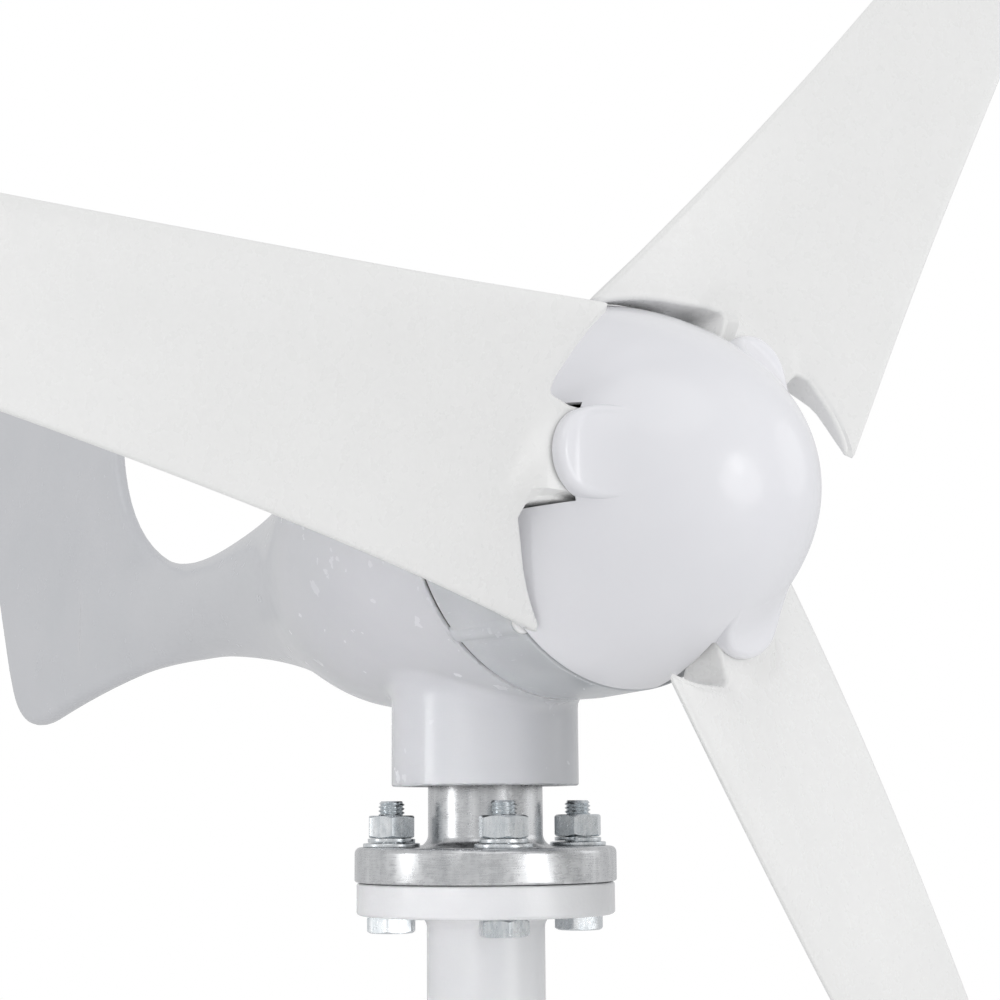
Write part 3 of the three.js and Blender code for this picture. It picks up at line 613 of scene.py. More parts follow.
def swivel():
    low, top = SEAM_Z + GAP, SWIVEL_FLANGE_TOP
    outline = rounded([
        (SWIVEL_BORE, low, 0.5),
        (SWIVEL_FLANGE_RADIUS, low, 0.9),
        (SWIVEL_FLANGE_RADIUS, top, 2.3),
        (SWIVEL_SHAFT_RADIUS, top, 4.6),
        (SWIVEL_SHAFT_RADIUS, YAW_SHOULDER, 0.4),
        (SWIVEL_SEAT, YAW_SHOULDER),
        (SWIVEL_SEAT, YAW_SHAFT_TOP, 0.8),
        (SWIVEL_BORE, YAW_SHAFT_TOP, 0.5),
    ], 8)
    obj = drilled_flange("swivel_turned", outline, low - 6, top + 6)
    finish_piece(obj, "mast", "turned_aluminium", ["swivel_shaft"])


def hexagon_rows(low, high, inner, per_side=9):
    """Rows of a hexagon with turned chamfers at both ends; inner is the bore, or 0 for a solid head."""
    turns = np.linspace(0, 2 * np.pi, 6 * per_side, endpoint=False)
    to_flat = (turns % (np.pi / 3)) - np.pi / 6
    edge = np.minimum(HEX_FLATS / 2 / np.cos(to_flat), 0.985 * HEX_FLATS / math.sqrt(3))
    turned_to = 0.475 * HEX_FLATS
    drop = (edge - turned_to) * math.tan(math.radians(30))
    lip = 0.45 if inner else 0.0
    rows = [
        (inner, low + lip),
        (inner + lip, low),
        (turned_to, low),
        (edge, low + drop),
        (edge, high - drop),
        (turned_to, high),
        (inner + lip, high),
        (inner, high - lip),
    ]
    grid = np.array([stack(r * np.cos(turns), r * np.sin(turns), z) for r, z in rows])
    return grid.reshape(-1, 3), grid_faces(len(rows), len(turns), True, True)


def thread_rows(radius, low, high, around=40, per_turn=10):
    """A stud with a true helical thread, rounded off at its free end."""
    turns = np.linspace(0, 2 * np.pi, around, endpoint=False)
    heights = np.arange(low, high + 1e-6, THREAD_PITCH / per_turn)
    z, turn = np.meshgrid(heights, turns, indexing="ij")
    phase = (z / THREAD_PITCH - turn / (2 * np.pi)) % 1
    valley = np.clip(1 - np.abs(phase - 0.5) / 0.44, 0, 1) ** 0.9
    r = np.minimum(radius - THREAD_DEPTH * valley, radius - 1.1 + (high - z) * 0.9)
    ends = [np.full((1, around, 3), (0, 0, end)) for end in (low, high)]
    grid = np.concatenate((ends[0], stack(r * np.cos(turn), r * np.sin(turn), z), ends[1]))
    return grid.reshape(-1, 3), grid_faces(len(grid), around, False, True)


def spring_washer_rows(low, rise=0.35, sections=72):
    """A split ring whose ends stand a little apart."""
    inner, outer = SPRING_WASHER_RADII
    slit = math.radians(5)
    grid = []
    for k in range(sections + 1):
        turn = slit + (2 * math.pi - 2 * slit) * k / sections
        bottom = low + rise * k / sections
        top = bottom + WASHER_THICKNESS
        corners = [(inner, bottom, 0.2), (outer, bottom, 0.25), (outer, top, 0.25), (inner, top, 0.2)]
        section = rounded(corners, 3)
        grid.append(stack(section[:, 0] * math.cos(turn), section[:, 0] * math.sin(turn), section[:, 1]))
    around = len(grid[0])
    faces = grid_faces(sections + 1, around, False, True)
    faces.append(tuple(range(around)))
    faces.append(tuple(sections * around + i for i in reversed(range(around))))
    return np.array(grid).reshape(-1, 3), faces


def placed(vertices, turn, place):
    """Turns vertices about +Z and moves them to (x, y)."""
    c, s = math.cos(turn), math.sin(turn)
    x, y, z = np.asarray(vertices, float).T
    return stack(x * c - y * s + place[0], x * s + y * c + place[1], z)


def merged(*parts):
    """Several (vertices, faces) as one."""
    vertices, faces, start = [], [], 0
    for v, f in parts:
        vertices.append(np.asarray(v, float))
        faces += [tuple(i + start for i in face) for face in f]
        start += len(v)
    return np.concatenate(vertices), faces


def zinc_piece(name, made, number, place, turn=0.0, weld=0.002, sharp=32):
    """One fastener on the bolt circle. The name is its CAD node's, then how it is made."""
    node, kind = name
    v, f = made
    obj = new_mesh(f"{node}_{kind}_{number}", placed(v, turn, place), f, weld)
    finish_piece(obj, "mast", "zinc_plate", [f"{node}_{number}"], sharp)


def mast_fasteners():
    """Bolts from below, with a flat washer, a spring washer and a nut on top, each turned its own way."""
    flat_low = SWIVEL_FLANGE_TOP + CONTACT
    flat_top = flat_low + WASHER_THICKNESS
    spring_low = flat_top + CONTACT
    nut_low = spring_low + 1.9
    nut_high = nut_low + NUT_HEIGHT
    head_top = TUBE_LENGTH - CONTACT
    inner, outer = FLAT_WASHER_RADII
    washer = turned(rounded([
        (inner, flat_low, 0.15), (outer, flat_low, 0.3), (outer, flat_top, 0.45), (inner, flat_top, 0.15),
    ], 3), 72)
    bolt = merged(
        hexagon_rows(head_top - HEAD_HEIGHT, head_top, 0),
        turned([(0, head_top - 1), (BOLT_RADIUS, head_top - 1), (BOLT_RADIUS, nut_low), (0, nut_low)], 40),
        thread_rows(BOLT_RADIUS, nut_low - 0.5, nut_high + STUD_PROUD),
    )
    nut = hexagon_rows(nut_low, nut_high, BOLT_RADIUS - 0.1)
    split_ring = spring_washer_rows(spring_low)
    for (number, turn, place), wobble in zip(bolt_places(), (0.0, 0.16, -0.12, 0.42)):
        zinc_piece(("flange_bolt", "threaded"), bolt, number, place, turn + wobble / 2, 0.0005, 25)
        zinc_piece(("flange_nut", "chamfered"), nut, number, place, turn + wobble, sharp=25)
        zinc_piece(("flat_washer", "stamped"), washer, number, place)
        zinc_piece(("spring_washer", "split"), split_ring, number, place, turn + 2.2 * number)


# ---- nacelle ----
BODY = Spline(BODY_STATIONS)


def bezier(a, b, c, d, steps=10):
    t = np.linspace(0, 1, steps + 1)[1:, None]
    a, b, c, d = (np.array(p, float) for p in (a, b, c, d))
    return (1 - t) ** 3 * a + 3 * (1 - t) ** 2 * t * b + 3 * (1 - t) * t**2 * c + t**3 * d


def fin_outline():
    """The tail fin in (x, height over the rotor axis)."""
    curves = [
        [(-216, -37.5), (-262, -40), (-315, -49), (-368, -62.5)],
        [(-368, -62.5), (-392, -68), (-406, -62), (-415, -46)],
        [(-421, -34), (-438, 8), (-472, 96), (-488, 142)],
        [(-488, 142), (-492, 156), (-488, 163), (-476, 163)],
        [(-352, 163), (-338, 163), (-332, 157), (-326, 143)],
        [(-326, 143), (-318, 122), (-309, 96), (-303.5, 72)],
        [(-303.5, 72), (-298, 42), (-280, 19), (-239, 6.5)],
    ]
    points = [np.array([(-150, -10), (-150, -20), (-170, -28.5), (-192, -34.2)], float)]
    for curve in curves:
        points.append(np.array([curve[0]], float))
        points.append(bezier(*curve))
    points.append(np.array([(-200, -4), (-175, -6)], float))
    outline = np.concatenate(points)
    keep = np.linalg.norm(outline - np.roll(outline, 1, 0), axis=1) > 1e-6
    return outline[keep]


FIN = fin_outline()
FIN_HALF = 4.2
FIN_ROUND = 3.7


def outline_distance(x, z, outline):
    """Signed distance from (x, z) to a closed outline, negative inside."""
    shape = np.broadcast(x, z).shape
    px, pz = (np.broadcast_to(v, shape).ravel() for v in (x, z))
    best = np.full(px.shape, np.inf)
    inside = np.zeros(px.shape, bool)
    for (ax, az), (bx, bz) in zip(outline, np.roll(outline, -1, axis=0)):
        ex, ez, wx, wz = bx - ax, bz - az, px - ax, pz - az
        t = np.clip((wx * ex + wz * ez) / (ex * ex + ez * ez), 0, 1)
        best = np.minimum(best, (wx - t * ex) ** 2 + (wz - t * ez) ** 2)
        if az != bz:
            crossing = ((az > pz) != (bz > pz)) & (px < ex * (pz - az) / ez + ax)
            inside ^= crossing
    d = np.sqrt(best)
    return np.where(inside, -d, d).reshape(shape)


def meet_round(a, b, radius):
    """The space inside both a and b, with a round edge."""
    out = np.hypot(np.maximum(a + radius, 0), np.maximum(b + radius, 0)) - radius
    return out + np.minimum(np.maximum(a + radius, b + radius), 0)


def join_round(a, b, radius):
    """The space inside a or b, with a round fillet."""
    out = radius - np.hypot(np.maximum(radius - a, 0), np.maximum(radius - b, 0))
    return out + np.maximum(np.minimum(a - radius, b - radius), 0)


def join_soft(a, b, width):
    """The space inside a or b, blended over a wide soft seam."""
    h = np.clip(0.5 + 0.5 * (b - a) / width, 0, 1)
    return b + (a - b) * h - width * h * (1 - h)


CAVITY = Spline([
    [-84, 0], [-80, 14], [-72, 31], [-56, 46], [-28, 60],
    [10, SHELL_BORE], [30, SHELL_BORE], [60, SHELL_BORE],
])
CAVITY_END_X = -83.0
TAIL_END_X = -330.0
NECK_TOP = AXIS_Z - 30.0
YAW_BORE_TOP = AXIS_Z - 58.0
LUG_BACK_X = 24.0
LUG_START_X = 44.8
REAR_SEAT_X = -37.0
REAR_SEAT_HALF_WIDTH = 8.0
REAR_SEAT_RADIUS = 26.9
REAR_SEAT_WALL = 3.1
RIB_HALF_WIDTH = 4.0


def screw_lugs(y, up):
    """Distance outside the nearest of the round lugs for the cover screws."""
    apart = [np.hypot(y - side, up - rise) for side, rise in LUG_PLACES]
    return np.minimum.reduce(apart) - LUG_RADIUS


def housing_field(x, y, z):
    """Signed distance, near enough, of the housing casting: skin, neck, boom and fin, less the hollow."""
    up = z - AXIS_Z
    rise, height, width = (BODY(x, column) for column in range(3))
    a, b = y / width, (up - rise) / height
    k0 = np.hypot(a, b) + 1e-9
    k1 = np.hypot(a / width, b / height) + 1e-9
    skin = np.maximum(k0 * (k0 - 1) / k1, TAIL_END_X - x)
    plate = meet_round(outline_distance(x, up, FIN), np.abs(y) - FIN_HALF, FIN_ROUND)
    solid = join_soft(skin, plate, 7.0)
    off_axis = np.hypot(x, y)
    neck = meet_round(off_axis - NECK_RADIUS, np.maximum(NECK_BOTTOM - z, z - NECK_TOP), 0.9)
    solid = join_round(solid, neck, 5.0)
    lug = screw_lugs(y, up)
    solid = np.minimum(solid, np.maximum(lug, LUG_START_X - x))
    solid = meet_round(solid, x - BODY_JOINT_X, 0.7)
    spread = np.hypot(y, up)
    cavity = np.maximum((spread - CAVITY(x, 0)) * 0.93, CAVITY_END_X - x)
    bosses = np.maximum(lug, LUG_BACK_X - x)
    beside_seat = np.abs(x - REAR_SEAT_X) - REAR_SEAT_HALF_WIDTH
    seat = np.maximum(np.abs(spread - REAR_SEAT_RADIUS) - REAR_SEAT_WALL, beside_seat)
    ribs = np.minimum(np.abs(y), np.abs(up)) - RIB_HALF_WIDTH
    ribs = np.maximum(np.maximum(ribs, beside_seat), REAR_SEAT_RADIUS - spread)
    cavity = np.maximum(cavity, -np.minimum(np.minimum(bosses, seat), ribs))
    bore = np.maximum(off_axis - YAW_BORE, z - YAW_BORE_TOP)
    return np.maximum(solid, -np.minimum(cavity, bore))


def surface_net(field, xs, ys, zs):
    """Quads over the zero surface of a field sampled on a grid, with each vertex pulled onto the surface."""
    value = field(xs[:, None, None], ys[None, :, None], zs[None, None, :])
    inside = value < 0
    cells = tuple(n - 1 for n in value.shape)
    total = np.zeros((*cells, 3))
    count = np.zeros(cells)
    grids = (xs, ys, zs)
    for axis in range(3):
        others = [k for k in range(3) if k != axis]
        start = [slice(None)] * 3
        stop = [slice(None)] * 3
        start[axis], stop[axis] = slice(0, -1), slice(1, None)
        v0, v1 = value[tuple(start)], value[tuple(stop)]
        cross = (v0 < 0) != (v1 < 0)
        t = np.where(cross, v0 / np.where(cross, v0 - v1, 1), 0)
        for shift in ((0, 0), (0, 1), (1, 0), (1, 1)):
            part = [slice(None)] * 3
            for other, by in zip(others, shift):
                part[other] = slice(by, by + cells[other])
            index = np.nonzero(cross[tuple(part)])
            point = np.zeros((len(index[0]), 3))
            low, high = grids[axis][index[axis]], grids[axis][index[axis] + 1]
            point[:, axis] = low + t[tuple(part)][index] * (high - low)
            for other, by in zip(others, shift):
                point[:, other] = grids[other][index[other] + by]
            total[index] += point
            count[index] += 1
    used = count > 0
    number = np.full(cells, -1)
    number[used] = np.arange(used.sum())
    points = total[used] / count[used][:, None]
    faces = []
    for axis in range(3):
        b, c = [(1, 2), (2, 0), (0, 1)][axis]
        start = [slice(1, -1)] * 3
        stop = [slice(1, -1)] * 3
        start[axis], stop[axis] = slice(0, -1), slice(1, None)
        s0, s1 = inside[tuple(start)], inside[tuple(stop)]
        index = np.array(np.nonzero(s0 != s1)).T
        flip = s0[tuple(index.T)]
        base = index + 1
        base[:, axis] -= 1
        quad = []
        for db, dc in ((0, 0), (1, 0), (1, 1), (0, 1)):
            cell = base.copy()
            cell[:, b] -= db
            cell[:, c] -= dc
            quad.append(number[tuple(cell.T)])
        quad = np.array(quad).T
        quad[~flip] = quad[~flip][:, ::-1]
        faces.append(quad)
    return settle(field, points), np.concatenate(faces)


def gradient(field, points, step=0.05):
    x, y, z = points.T
    here = field(x, y, z)
    beyond = stack(field(x + step, y, z), field(x, y + step, z), field(x, y, z + step))
    return here, (beyond - here[:, None]) / step


def settle(field, points, rounds=5, most=1.2):
    """Moves points onto the field's zero surface by short Newton steps."""
    for _ in range(rounds):
        here, slope = gradient(field, points)
        size = np.maximum((slope**2).sum(1), 0.05)
        step = -here / size
        length = np.abs(step) * np.sqrt(size)
        step = step * np.minimum(1, most / np.maximum(length, 1e-9))
        points = points + step[:, None] * slope
    return points


def spaced(low, high, step, fine=()):
    """Grid lines from low to high; each fine (start, end, step) stretch is closer."""
    lines = [low]
    while lines[-1] < high:
        here = lines[-1]
        size = step
        for start, end, small in fine:
            if start - step <= here < end:
                size = small
        lines.append(here + size)
    return np.array(lines)


def nacelle_housing():
    step = 2.0
    xs = spaced(-494, 49, step, [(43.5, 47.5, 0.45)])
    ys = spaced(-75.1, 75.1, step)
    zs = spaced(195, AXIS_Z + 168, step, [(197, 200.4, 0.5)])
    points, faces = surface_net(housing_field, xs, ys, zs)
    obj = new_mesh("nacelle_casting", points, faces.tolist(), 0.0005)
    finish_piece(obj, "nacelle", "cast_grey", ["nacelle_housing"], 40)


# the front cover, its bearing seat and its screws
COVER_LIP_RADIUS = 64.5
COVER_INSIDE_X = 73.0
SEAT_BACK_X = 62.0
SEAT_FRONT_X = 77.3
SEAT_BORE = 23.8
SEAT_OUTER = 30.0
SHAFT_HOLE = 16.3
SEAM_GROOVE = 1.6
SEAM_GROOVE_RADIUS = 68.9
LUG_EDGE = 0.9
SCREW_POCKET = 4.95
SCREW_HEAD = 4.85
SCREW_HEAD_HEIGHT = 2.8


def lug_columns(segments=180):
    """Turns round the rotor axis, closer together at the screw lugs."""
    plain = np.linspace(0, 2 * np.pi, segments, endpoint=False)
    near = np.radians(np.arange(-7, 7.01, 0.25))
    away = np.min([np.abs((plain - lug + np.pi) % (2 * np.pi) - np.pi) for lug in LUG_TURNS], axis=0)
    turns = np.concatenate([plain[away > near[-1] + 0.01], *[lug + near for lug in LUG_TURNS]])
    return np.sort(turns % (2 * np.pi))


def lug_radius(turns):
    """Outer radius of the screw lugs at each turn, or 0 away from them."""
    away = np.min([np.abs((turns - lug + np.pi) % (2 * np.pi) - np.pi) for lug in LUG_TURNS], axis=0)
    inside = LUG_RADIUS**2 - (LUG_CIRCLE * np.sin(away)) ** 2
    return np.where(inside > 0, LUG_CIRCLE * np.cos(away) + np.sqrt(np.maximum(inside, 0)), 0)


def at_lug(vertices, place):
    """Puts a piece made about +Z on the axis of a screw lug."""
    return to_rotor_axis(vertices) + np.array([0, *place])


def front_cover():
    """The cover: a skin with screw lugs, a stepped front lip, and the seat of the front bearing."""
    back = BODY_JOINT_X + GAP
    groove = back + SEAM_GROOVE
    side = BODY_RADIUS - 0.05
    skin = rounded([
        (SEAM_GROOVE_RADIUS, back), (SEAM_GROOVE_RADIUS, groove), (side, groove, 0.4), (side, 57.5, 6),
        (COVER_FRONT_RADIUS, COVER_LIP_X, 0.8), (COVER_LIP_RADIUS, COVER_LIP_X),
    ], 6)
    step = [(60.5, COVER_LIP_X), (60.0, COVER_FRONT_X)]
    inside = rounded([
        (SHAFT_HOLE, COVER_FRONT_X, 0.5), (SHAFT_HOLE, SEAT_FRONT_X), (SEAT_BORE, SEAT_FRONT_X),
        (SEAT_BORE, SEAT_BACK_X, 0.6), (SEAT_OUTER, SEAT_BACK_X, 1.0), (SEAT_OUTER, COVER_INSIDE_X, 2.0),
        (SHELL_BORE, COVER_INSIDE_X, 2.0), (SHELL_BORE, back),
    ], 4)
    turns = lug_columns()
    lug = lug_radius(turns)
    rows = []
    for radius, x in np.concatenate((skin, step, inside)):
        ring = np.full(len(turns), radius)
        if radius > SHELL_BORE + 0.7:
            ring = np.maximum(ring, lug - LUG_EDGE * smoothstep(x - COVER_LIP_X + 1))
        rows.append(stack(x, ring * np.cos(turns), AXIS_Z + ring * np.sin(turns)))
    obj = new_mesh("front_cover_cast", np.concatenate(rows), grid_faces(len(rows), len(turns), True, True))
    low, high = COVER_FRONT_X, COVER_FRONT_X + 6
    v, f = turned([(0, low), (SCREW_POCKET, low), (SCREW_POCKET, high), (0, high)], 48)
    for i, place in enumerate(LUG_PLACES):
        combined(obj, new_mesh(f"screw_pocket_{i}", at_lug(v, place), f), "DIFFERENCE")
    finish_piece(obj, "nacelle", "cast_grey", ["front_cover"], 28, shaded_cover_with_glints())


def seam_shade_filler():
    """A dark rubber-black ring in the groove between the housing and the front cover, put there as painted
    shade for the groove's shadow.
    """
    low = BODY_JOINT_X + GAP - 0.1
    high = BODY_JOINT_X + GAP + SEAM_GROOVE - CONTACT
    inner = SEAM_GROOVE_RADIUS + 0.1
    outline = rounded([
        (inner, low, 0.3), (SEAM_RING_RADIUS, low, 0.5), (SEAM_RING_RADIUS, high, 0.4), (inner, high, 0.3),
    ], 4)
    v, f = turned(outline, 180)
    # painted shade: a black ring that darkens the groove where its shadow falls
    ring = new_mesh("seam_groove_shade_ring", to_rotor_axis(v), f)
    finish_piece(ring, "nacelle", "rubber")


def cover_screws():
    """Low pan-head zinc screws, coloured near-white as a painted highlight of their glare."""
    # painted highlight: the zinc heads given a near-white paint colour for their glare
    glare_white = painted("screw_glare_white", (0.9, 0.9, 0.9), (0.94, 0.94, 0.94), 0.22, 1.5, 0.004)
    low = COVER_FRONT_X + CONTACT
    high = low + SCREW_HEAD_HEIGHT
    shank = turned(rounded([(0, 28), (2.5, 28, 0.6), (2.5, low + 1), (0, low + 1)]), 32)
    head = turned(rounded([
        (0, low), (SCREW_HEAD, low, 0.2), (SCREW_HEAD, high, 0.9), (2.0, high, 0.15),
        (1.8, low + 1.2), (0, low + 1),
    ]), 48)
    v, f = merged(shank, head)
    for i, place in enumerate(LUG_PLACES):
        screw = new_mesh(f"cover_screw_panhead_{i + 1}", at_lug(v, place), f)
        finish_piece(screw, "nacelle", "zinc_plate", [f"cover_screw_{i + 1}"], material=glare_white)


# ---- rotor ----
def at_blade(vertices, turn):
    """Turns a piece drawn with its blade along +Y to the blade's place on the rotor axis."""
    x, y, z = np.asarray(vertices, float).T
    c, s = -math.cos(turn), math.sin(turn)
    return stack(x, y * c - z * s, y * s + z * c + AXIS_Z)


BLADE = Spline(BLADE_STATIONS)
LEAD_CORNER = (1.6, math.radians(38), 0.7)
TRAIL_CORNER = (1.3, math.radians(31), 0.62)
PAD_FILLET = 4.6
TIP_ROUND = 15.0
WALL_ROUND = 1.5
LEAD_DEEPEN = 6.5
TRAIL_DEEPEN = 14.0
DEEPEST_X = 84.5
SHOULDER = 7.0
CAMBER = 0.14
PAD_SHRINK_CHORD = 96.0


def tip_share(r):
    """1 along the blade, falling to 0 on a round end at the tip."""
    inside = np.clip((r - (BLADE_TIP - TIP_ROUND)) / TIP_ROUND, 0, 1)
    return np.sqrt(np.maximum(1 - inside**2, 0))


def corner_loss(e, corner):
    """How far a root corner is rounded back, at distance e from the root arc."""
    radius, angle, across = corner
    b = e - radius
    line = radius / math.tan(angle / 2) - (b + radius) / math.tan(angle)
    loss = line - np.sqrt(np.maximum(radius**2 - np.minimum(b, radius) ** 2, 0))
    return np.where(b < radius * math.cos(angle), loss, 0) * across


def root_arc(t):
    """Radius of the blade's root end wall, which hugs the dome more closely towards both edges."""
    return ROOT_ARC - 0.8 * smoothstep((t - 17) / 12) - 1.9 * smoothstep((-t - 17) / 14)


def row_radius(e, t):
    """Blade radius on row e, which follows the root arc near it and straightens outwards."""
    arc = np.sqrt(np.maximum((root_arc(t) + e) ** 2 - t**2, 1))
    straight = smoothstep((e - 8) / 45)
    return arc * (1 - straight) + (ROOT_ARC + e) * straight


def edges_at(e):
    """Leading and trailing edge offsets on row e."""
    lead, trail = np.full_like(e, 48.0), np.full_like(e, -52.0)
    for _ in range(8):
        lead = BLADE(row_radius(e, lead), 0)
        trail = BLADE(row_radius(e, trail), 1)
    middle = (lead + trail) / 2
    share = tip_share(ROOT_ARC + e)
    lead = middle + (lead - middle) * share
    trail = middle + (trail - middle) * share
    return lead - corner_loss(e, LEAD_CORNER), trail + corner_loss(e, TRAIL_CORNER)


def pad_distance(r, t):
    """Distance outside the round-ended root pad, negative within it."""
    return np.hypot(np.maximum(r - PAD_END, 0), t - PAD_SIDE) - PAD_HALF_WIDTH


def blade_surfaces(r, t, edge_lead, edge_trail):
    """Front and back of the blade at radius r and chordwise offset t: an aerofoil with the root pad in it."""
    lead, trail = BLADE(r, 0), BLADE(r, 1)
    chord = lead - trail
    c = np.clip((lead - t) / chord, 0, 1)
    pitch = np.radians(BLADE(r, 3))
    middle = BLADE_PLANE_X + BLADE(r, 2) + chord / 2 * np.tan(pitch) * (1 - 2 * c)
    middle = middle - CAMBER * chord * c * (1 - c)
    width = np.maximum(edge_lead - edge_trail, 1e-6)
    s = np.clip((edge_lead - t) / width, 0, 1)
    half = BLADE(r, 4) * (1.4845 * np.sqrt(s) - 0.63 * s - 1.758 * s**2 + 1.4215 * s**3 - 0.38 * s**4)
    edge = np.clip((t - edge_trail) / 1.3, 0, 1)
    half = half * np.sqrt(np.maximum(1 - (1 - edge) ** 2, 0)) * np.clip(width / chord, 0, 1) ** 0.6
    front, back = middle + half, middle - half
    from_root = np.hypot(r, t) - root_arc(t)
    near = 1 - smoothstep(from_root / 20)
    deepen = np.where(t > 0, LEAD_DEEPEN * (1 - smoothstep((t - 20) / 14)),
                      TRAIL_DEEPEN * smoothstep((t - edge_trail + 1.5) / 9))
    d = pad_distance(r, t)
    on_front = (1 - smoothstep((r - 60) / 20)) * (1 - smoothstep((np.abs(t - PAD_SIDE) - 13) / 10))
    on_back = 1 - smoothstep((d + 2) / 6)
    front = front + (PAD_FRONT_X - front) * on_front
    back = np.maximum(back - deepen * near, np.minimum(back, DEEPEST_X))
    pad_back = HUB_FRONT_X + GAP - SHOULDER * smoothstep((r - HUB_RADIUS - 0.3) / 5)
    back = back + (pad_back - back) * on_back
    return front, back


def blade_rows():
    """Distances from the root arc of the rows of the blade's grid, close together at both ends."""
    near = [0, 2.1, 3.2, 4.5, 6.2, 8.2, 10.5, 13, 15.8, 19, 22.5, 26.5, 31, 36, 42, 49, 57, 66]
    end = BLADE_TIP - ROOT_ARC
    along = list(np.linspace(76, end - TIP_ROUND, 52))
    tip = [end - TIP_ROUND + TIP_ROUND * math.sin(a) for a in np.linspace(0, math.pi / 2, 9)[1:]]
    return np.array(near + along + tip)


def column_offsets(lead, trail, pad_lead, pad_trail):
    """Chordwise offsets from the leading edge, past the pad, to the trailing edge."""
    at_lead = 1 - np.cos(np.linspace(0, np.pi / 2, 15))
    at_lead = at_lead * 0.75 + 0.25 * np.linspace(0, 1, 15) ** 1.5
    across = np.concatenate(([0.0], np.linspace(0.11, 0.89, 15), [1.0]))
    at_trail = 1 - at_lead[::-1]
    first = lead + (pad_lead - lead) * at_lead
    second = pad_lead + (pad_trail - pad_lead) * across
    third = pad_trail + (trail - pad_trail) * at_trail
    return np.concatenate((first, second[1:-1], third)), len(first) - 1, len(first) + len(second) - 2


def blade_grid():
    """The blade's plan as rows of (radius, offset, edge offsets), root first, and the pad's two columns."""
    e = blade_rows()
    lead, trail = edges_at(e)
    rows = []
    corner = PAD_FILLET * (1 - math.sqrt(0.5))
    for k, distance in enumerate(e):
        shrink = min(1.0, (lead[k] - trail[k]) / PAD_SHRINK_CHORD)
        pad_lead = (PAD_SIDE + PAD_HALF_WIDTH + corner) * shrink
        pad_trail = (PAD_SIDE - PAD_HALF_WIDTH - corner) * shrink
        t, first, last = column_offsets(lead[k], trail[k], pad_lead, pad_trail)
        off = np.abs(t - PAD_SIDE)
        beside = np.clip(PAD_HALF_WIDTH + PAD_FILLET - off, 0, PAD_FILLET)
        fillet = PAD_FILLET - np.sqrt(np.maximum(PAD_FILLET**2 - beside**2, 0))
        inner = corner * smoothstep((off - 13) / 5)
        dip = np.where(off < PAD_HALF_WIDTH + corner, inner, fillet)
        r = row_radius(distance, t) - dip * (1 - smoothstep(distance / 9))
        rows.append(stack(r, t, lead[k], trail[k]))
    return rows, first, last


def pad_rows(root):
    """Rows of the root pad, from just inside the blade's root row to the pad's inner end."""
    r0, t0, lead, trail = root.T
    share = (t0 - t0[-1]) / (t0[0] - t0[-1])
    turn_r = math.sqrt(ROOT_ARC**2 - PAD_HALF_WIDTH**2) - PAD_FILLET
    rows = []
    for stop in [*np.linspace(r0[0], turn_r, 6)[1:], 58, 50, 42, 34, 27, 22.2, PAD_START]:
        rise = np.clip(stop - turn_r, 0, PAD_FILLET)
        half = PAD_HALF_WIDTH + PAD_FILLET - math.sqrt(PAD_FILLET**2 - rise**2)
        fade = np.clip((stop - turn_r) / (r0[0] - turn_r), 0, 1)
        rows.append(stack(stop + (r0 - r0[0]) * fade**2, PAD_SIDE - half + 2 * half * share, lead, trail))
    return rows


def stitched(faces, same):
    """Faces with shared vertices put together, and faces left with no area dropped."""
    kept = []
    for face in faces:
        face = [int(same[i]) for i in face]
        face = [v for i, v in enumerate(face) if v != face[i - 1]]
        if len(set(face)) > 2:
            kept.append(tuple(face))
    return kept


def outward_normals(outline):
    """Unit directions across an open outline, away from the blade."""
    along = np.gradient(outline, axis=0)
    along /= np.linalg.norm(along, axis=1)[:, None]
    outward = stack(-along[:, 1], along[:, 0])
    return outward * np.sign(outward[0] @ np.array([-1.0, 0.2]))


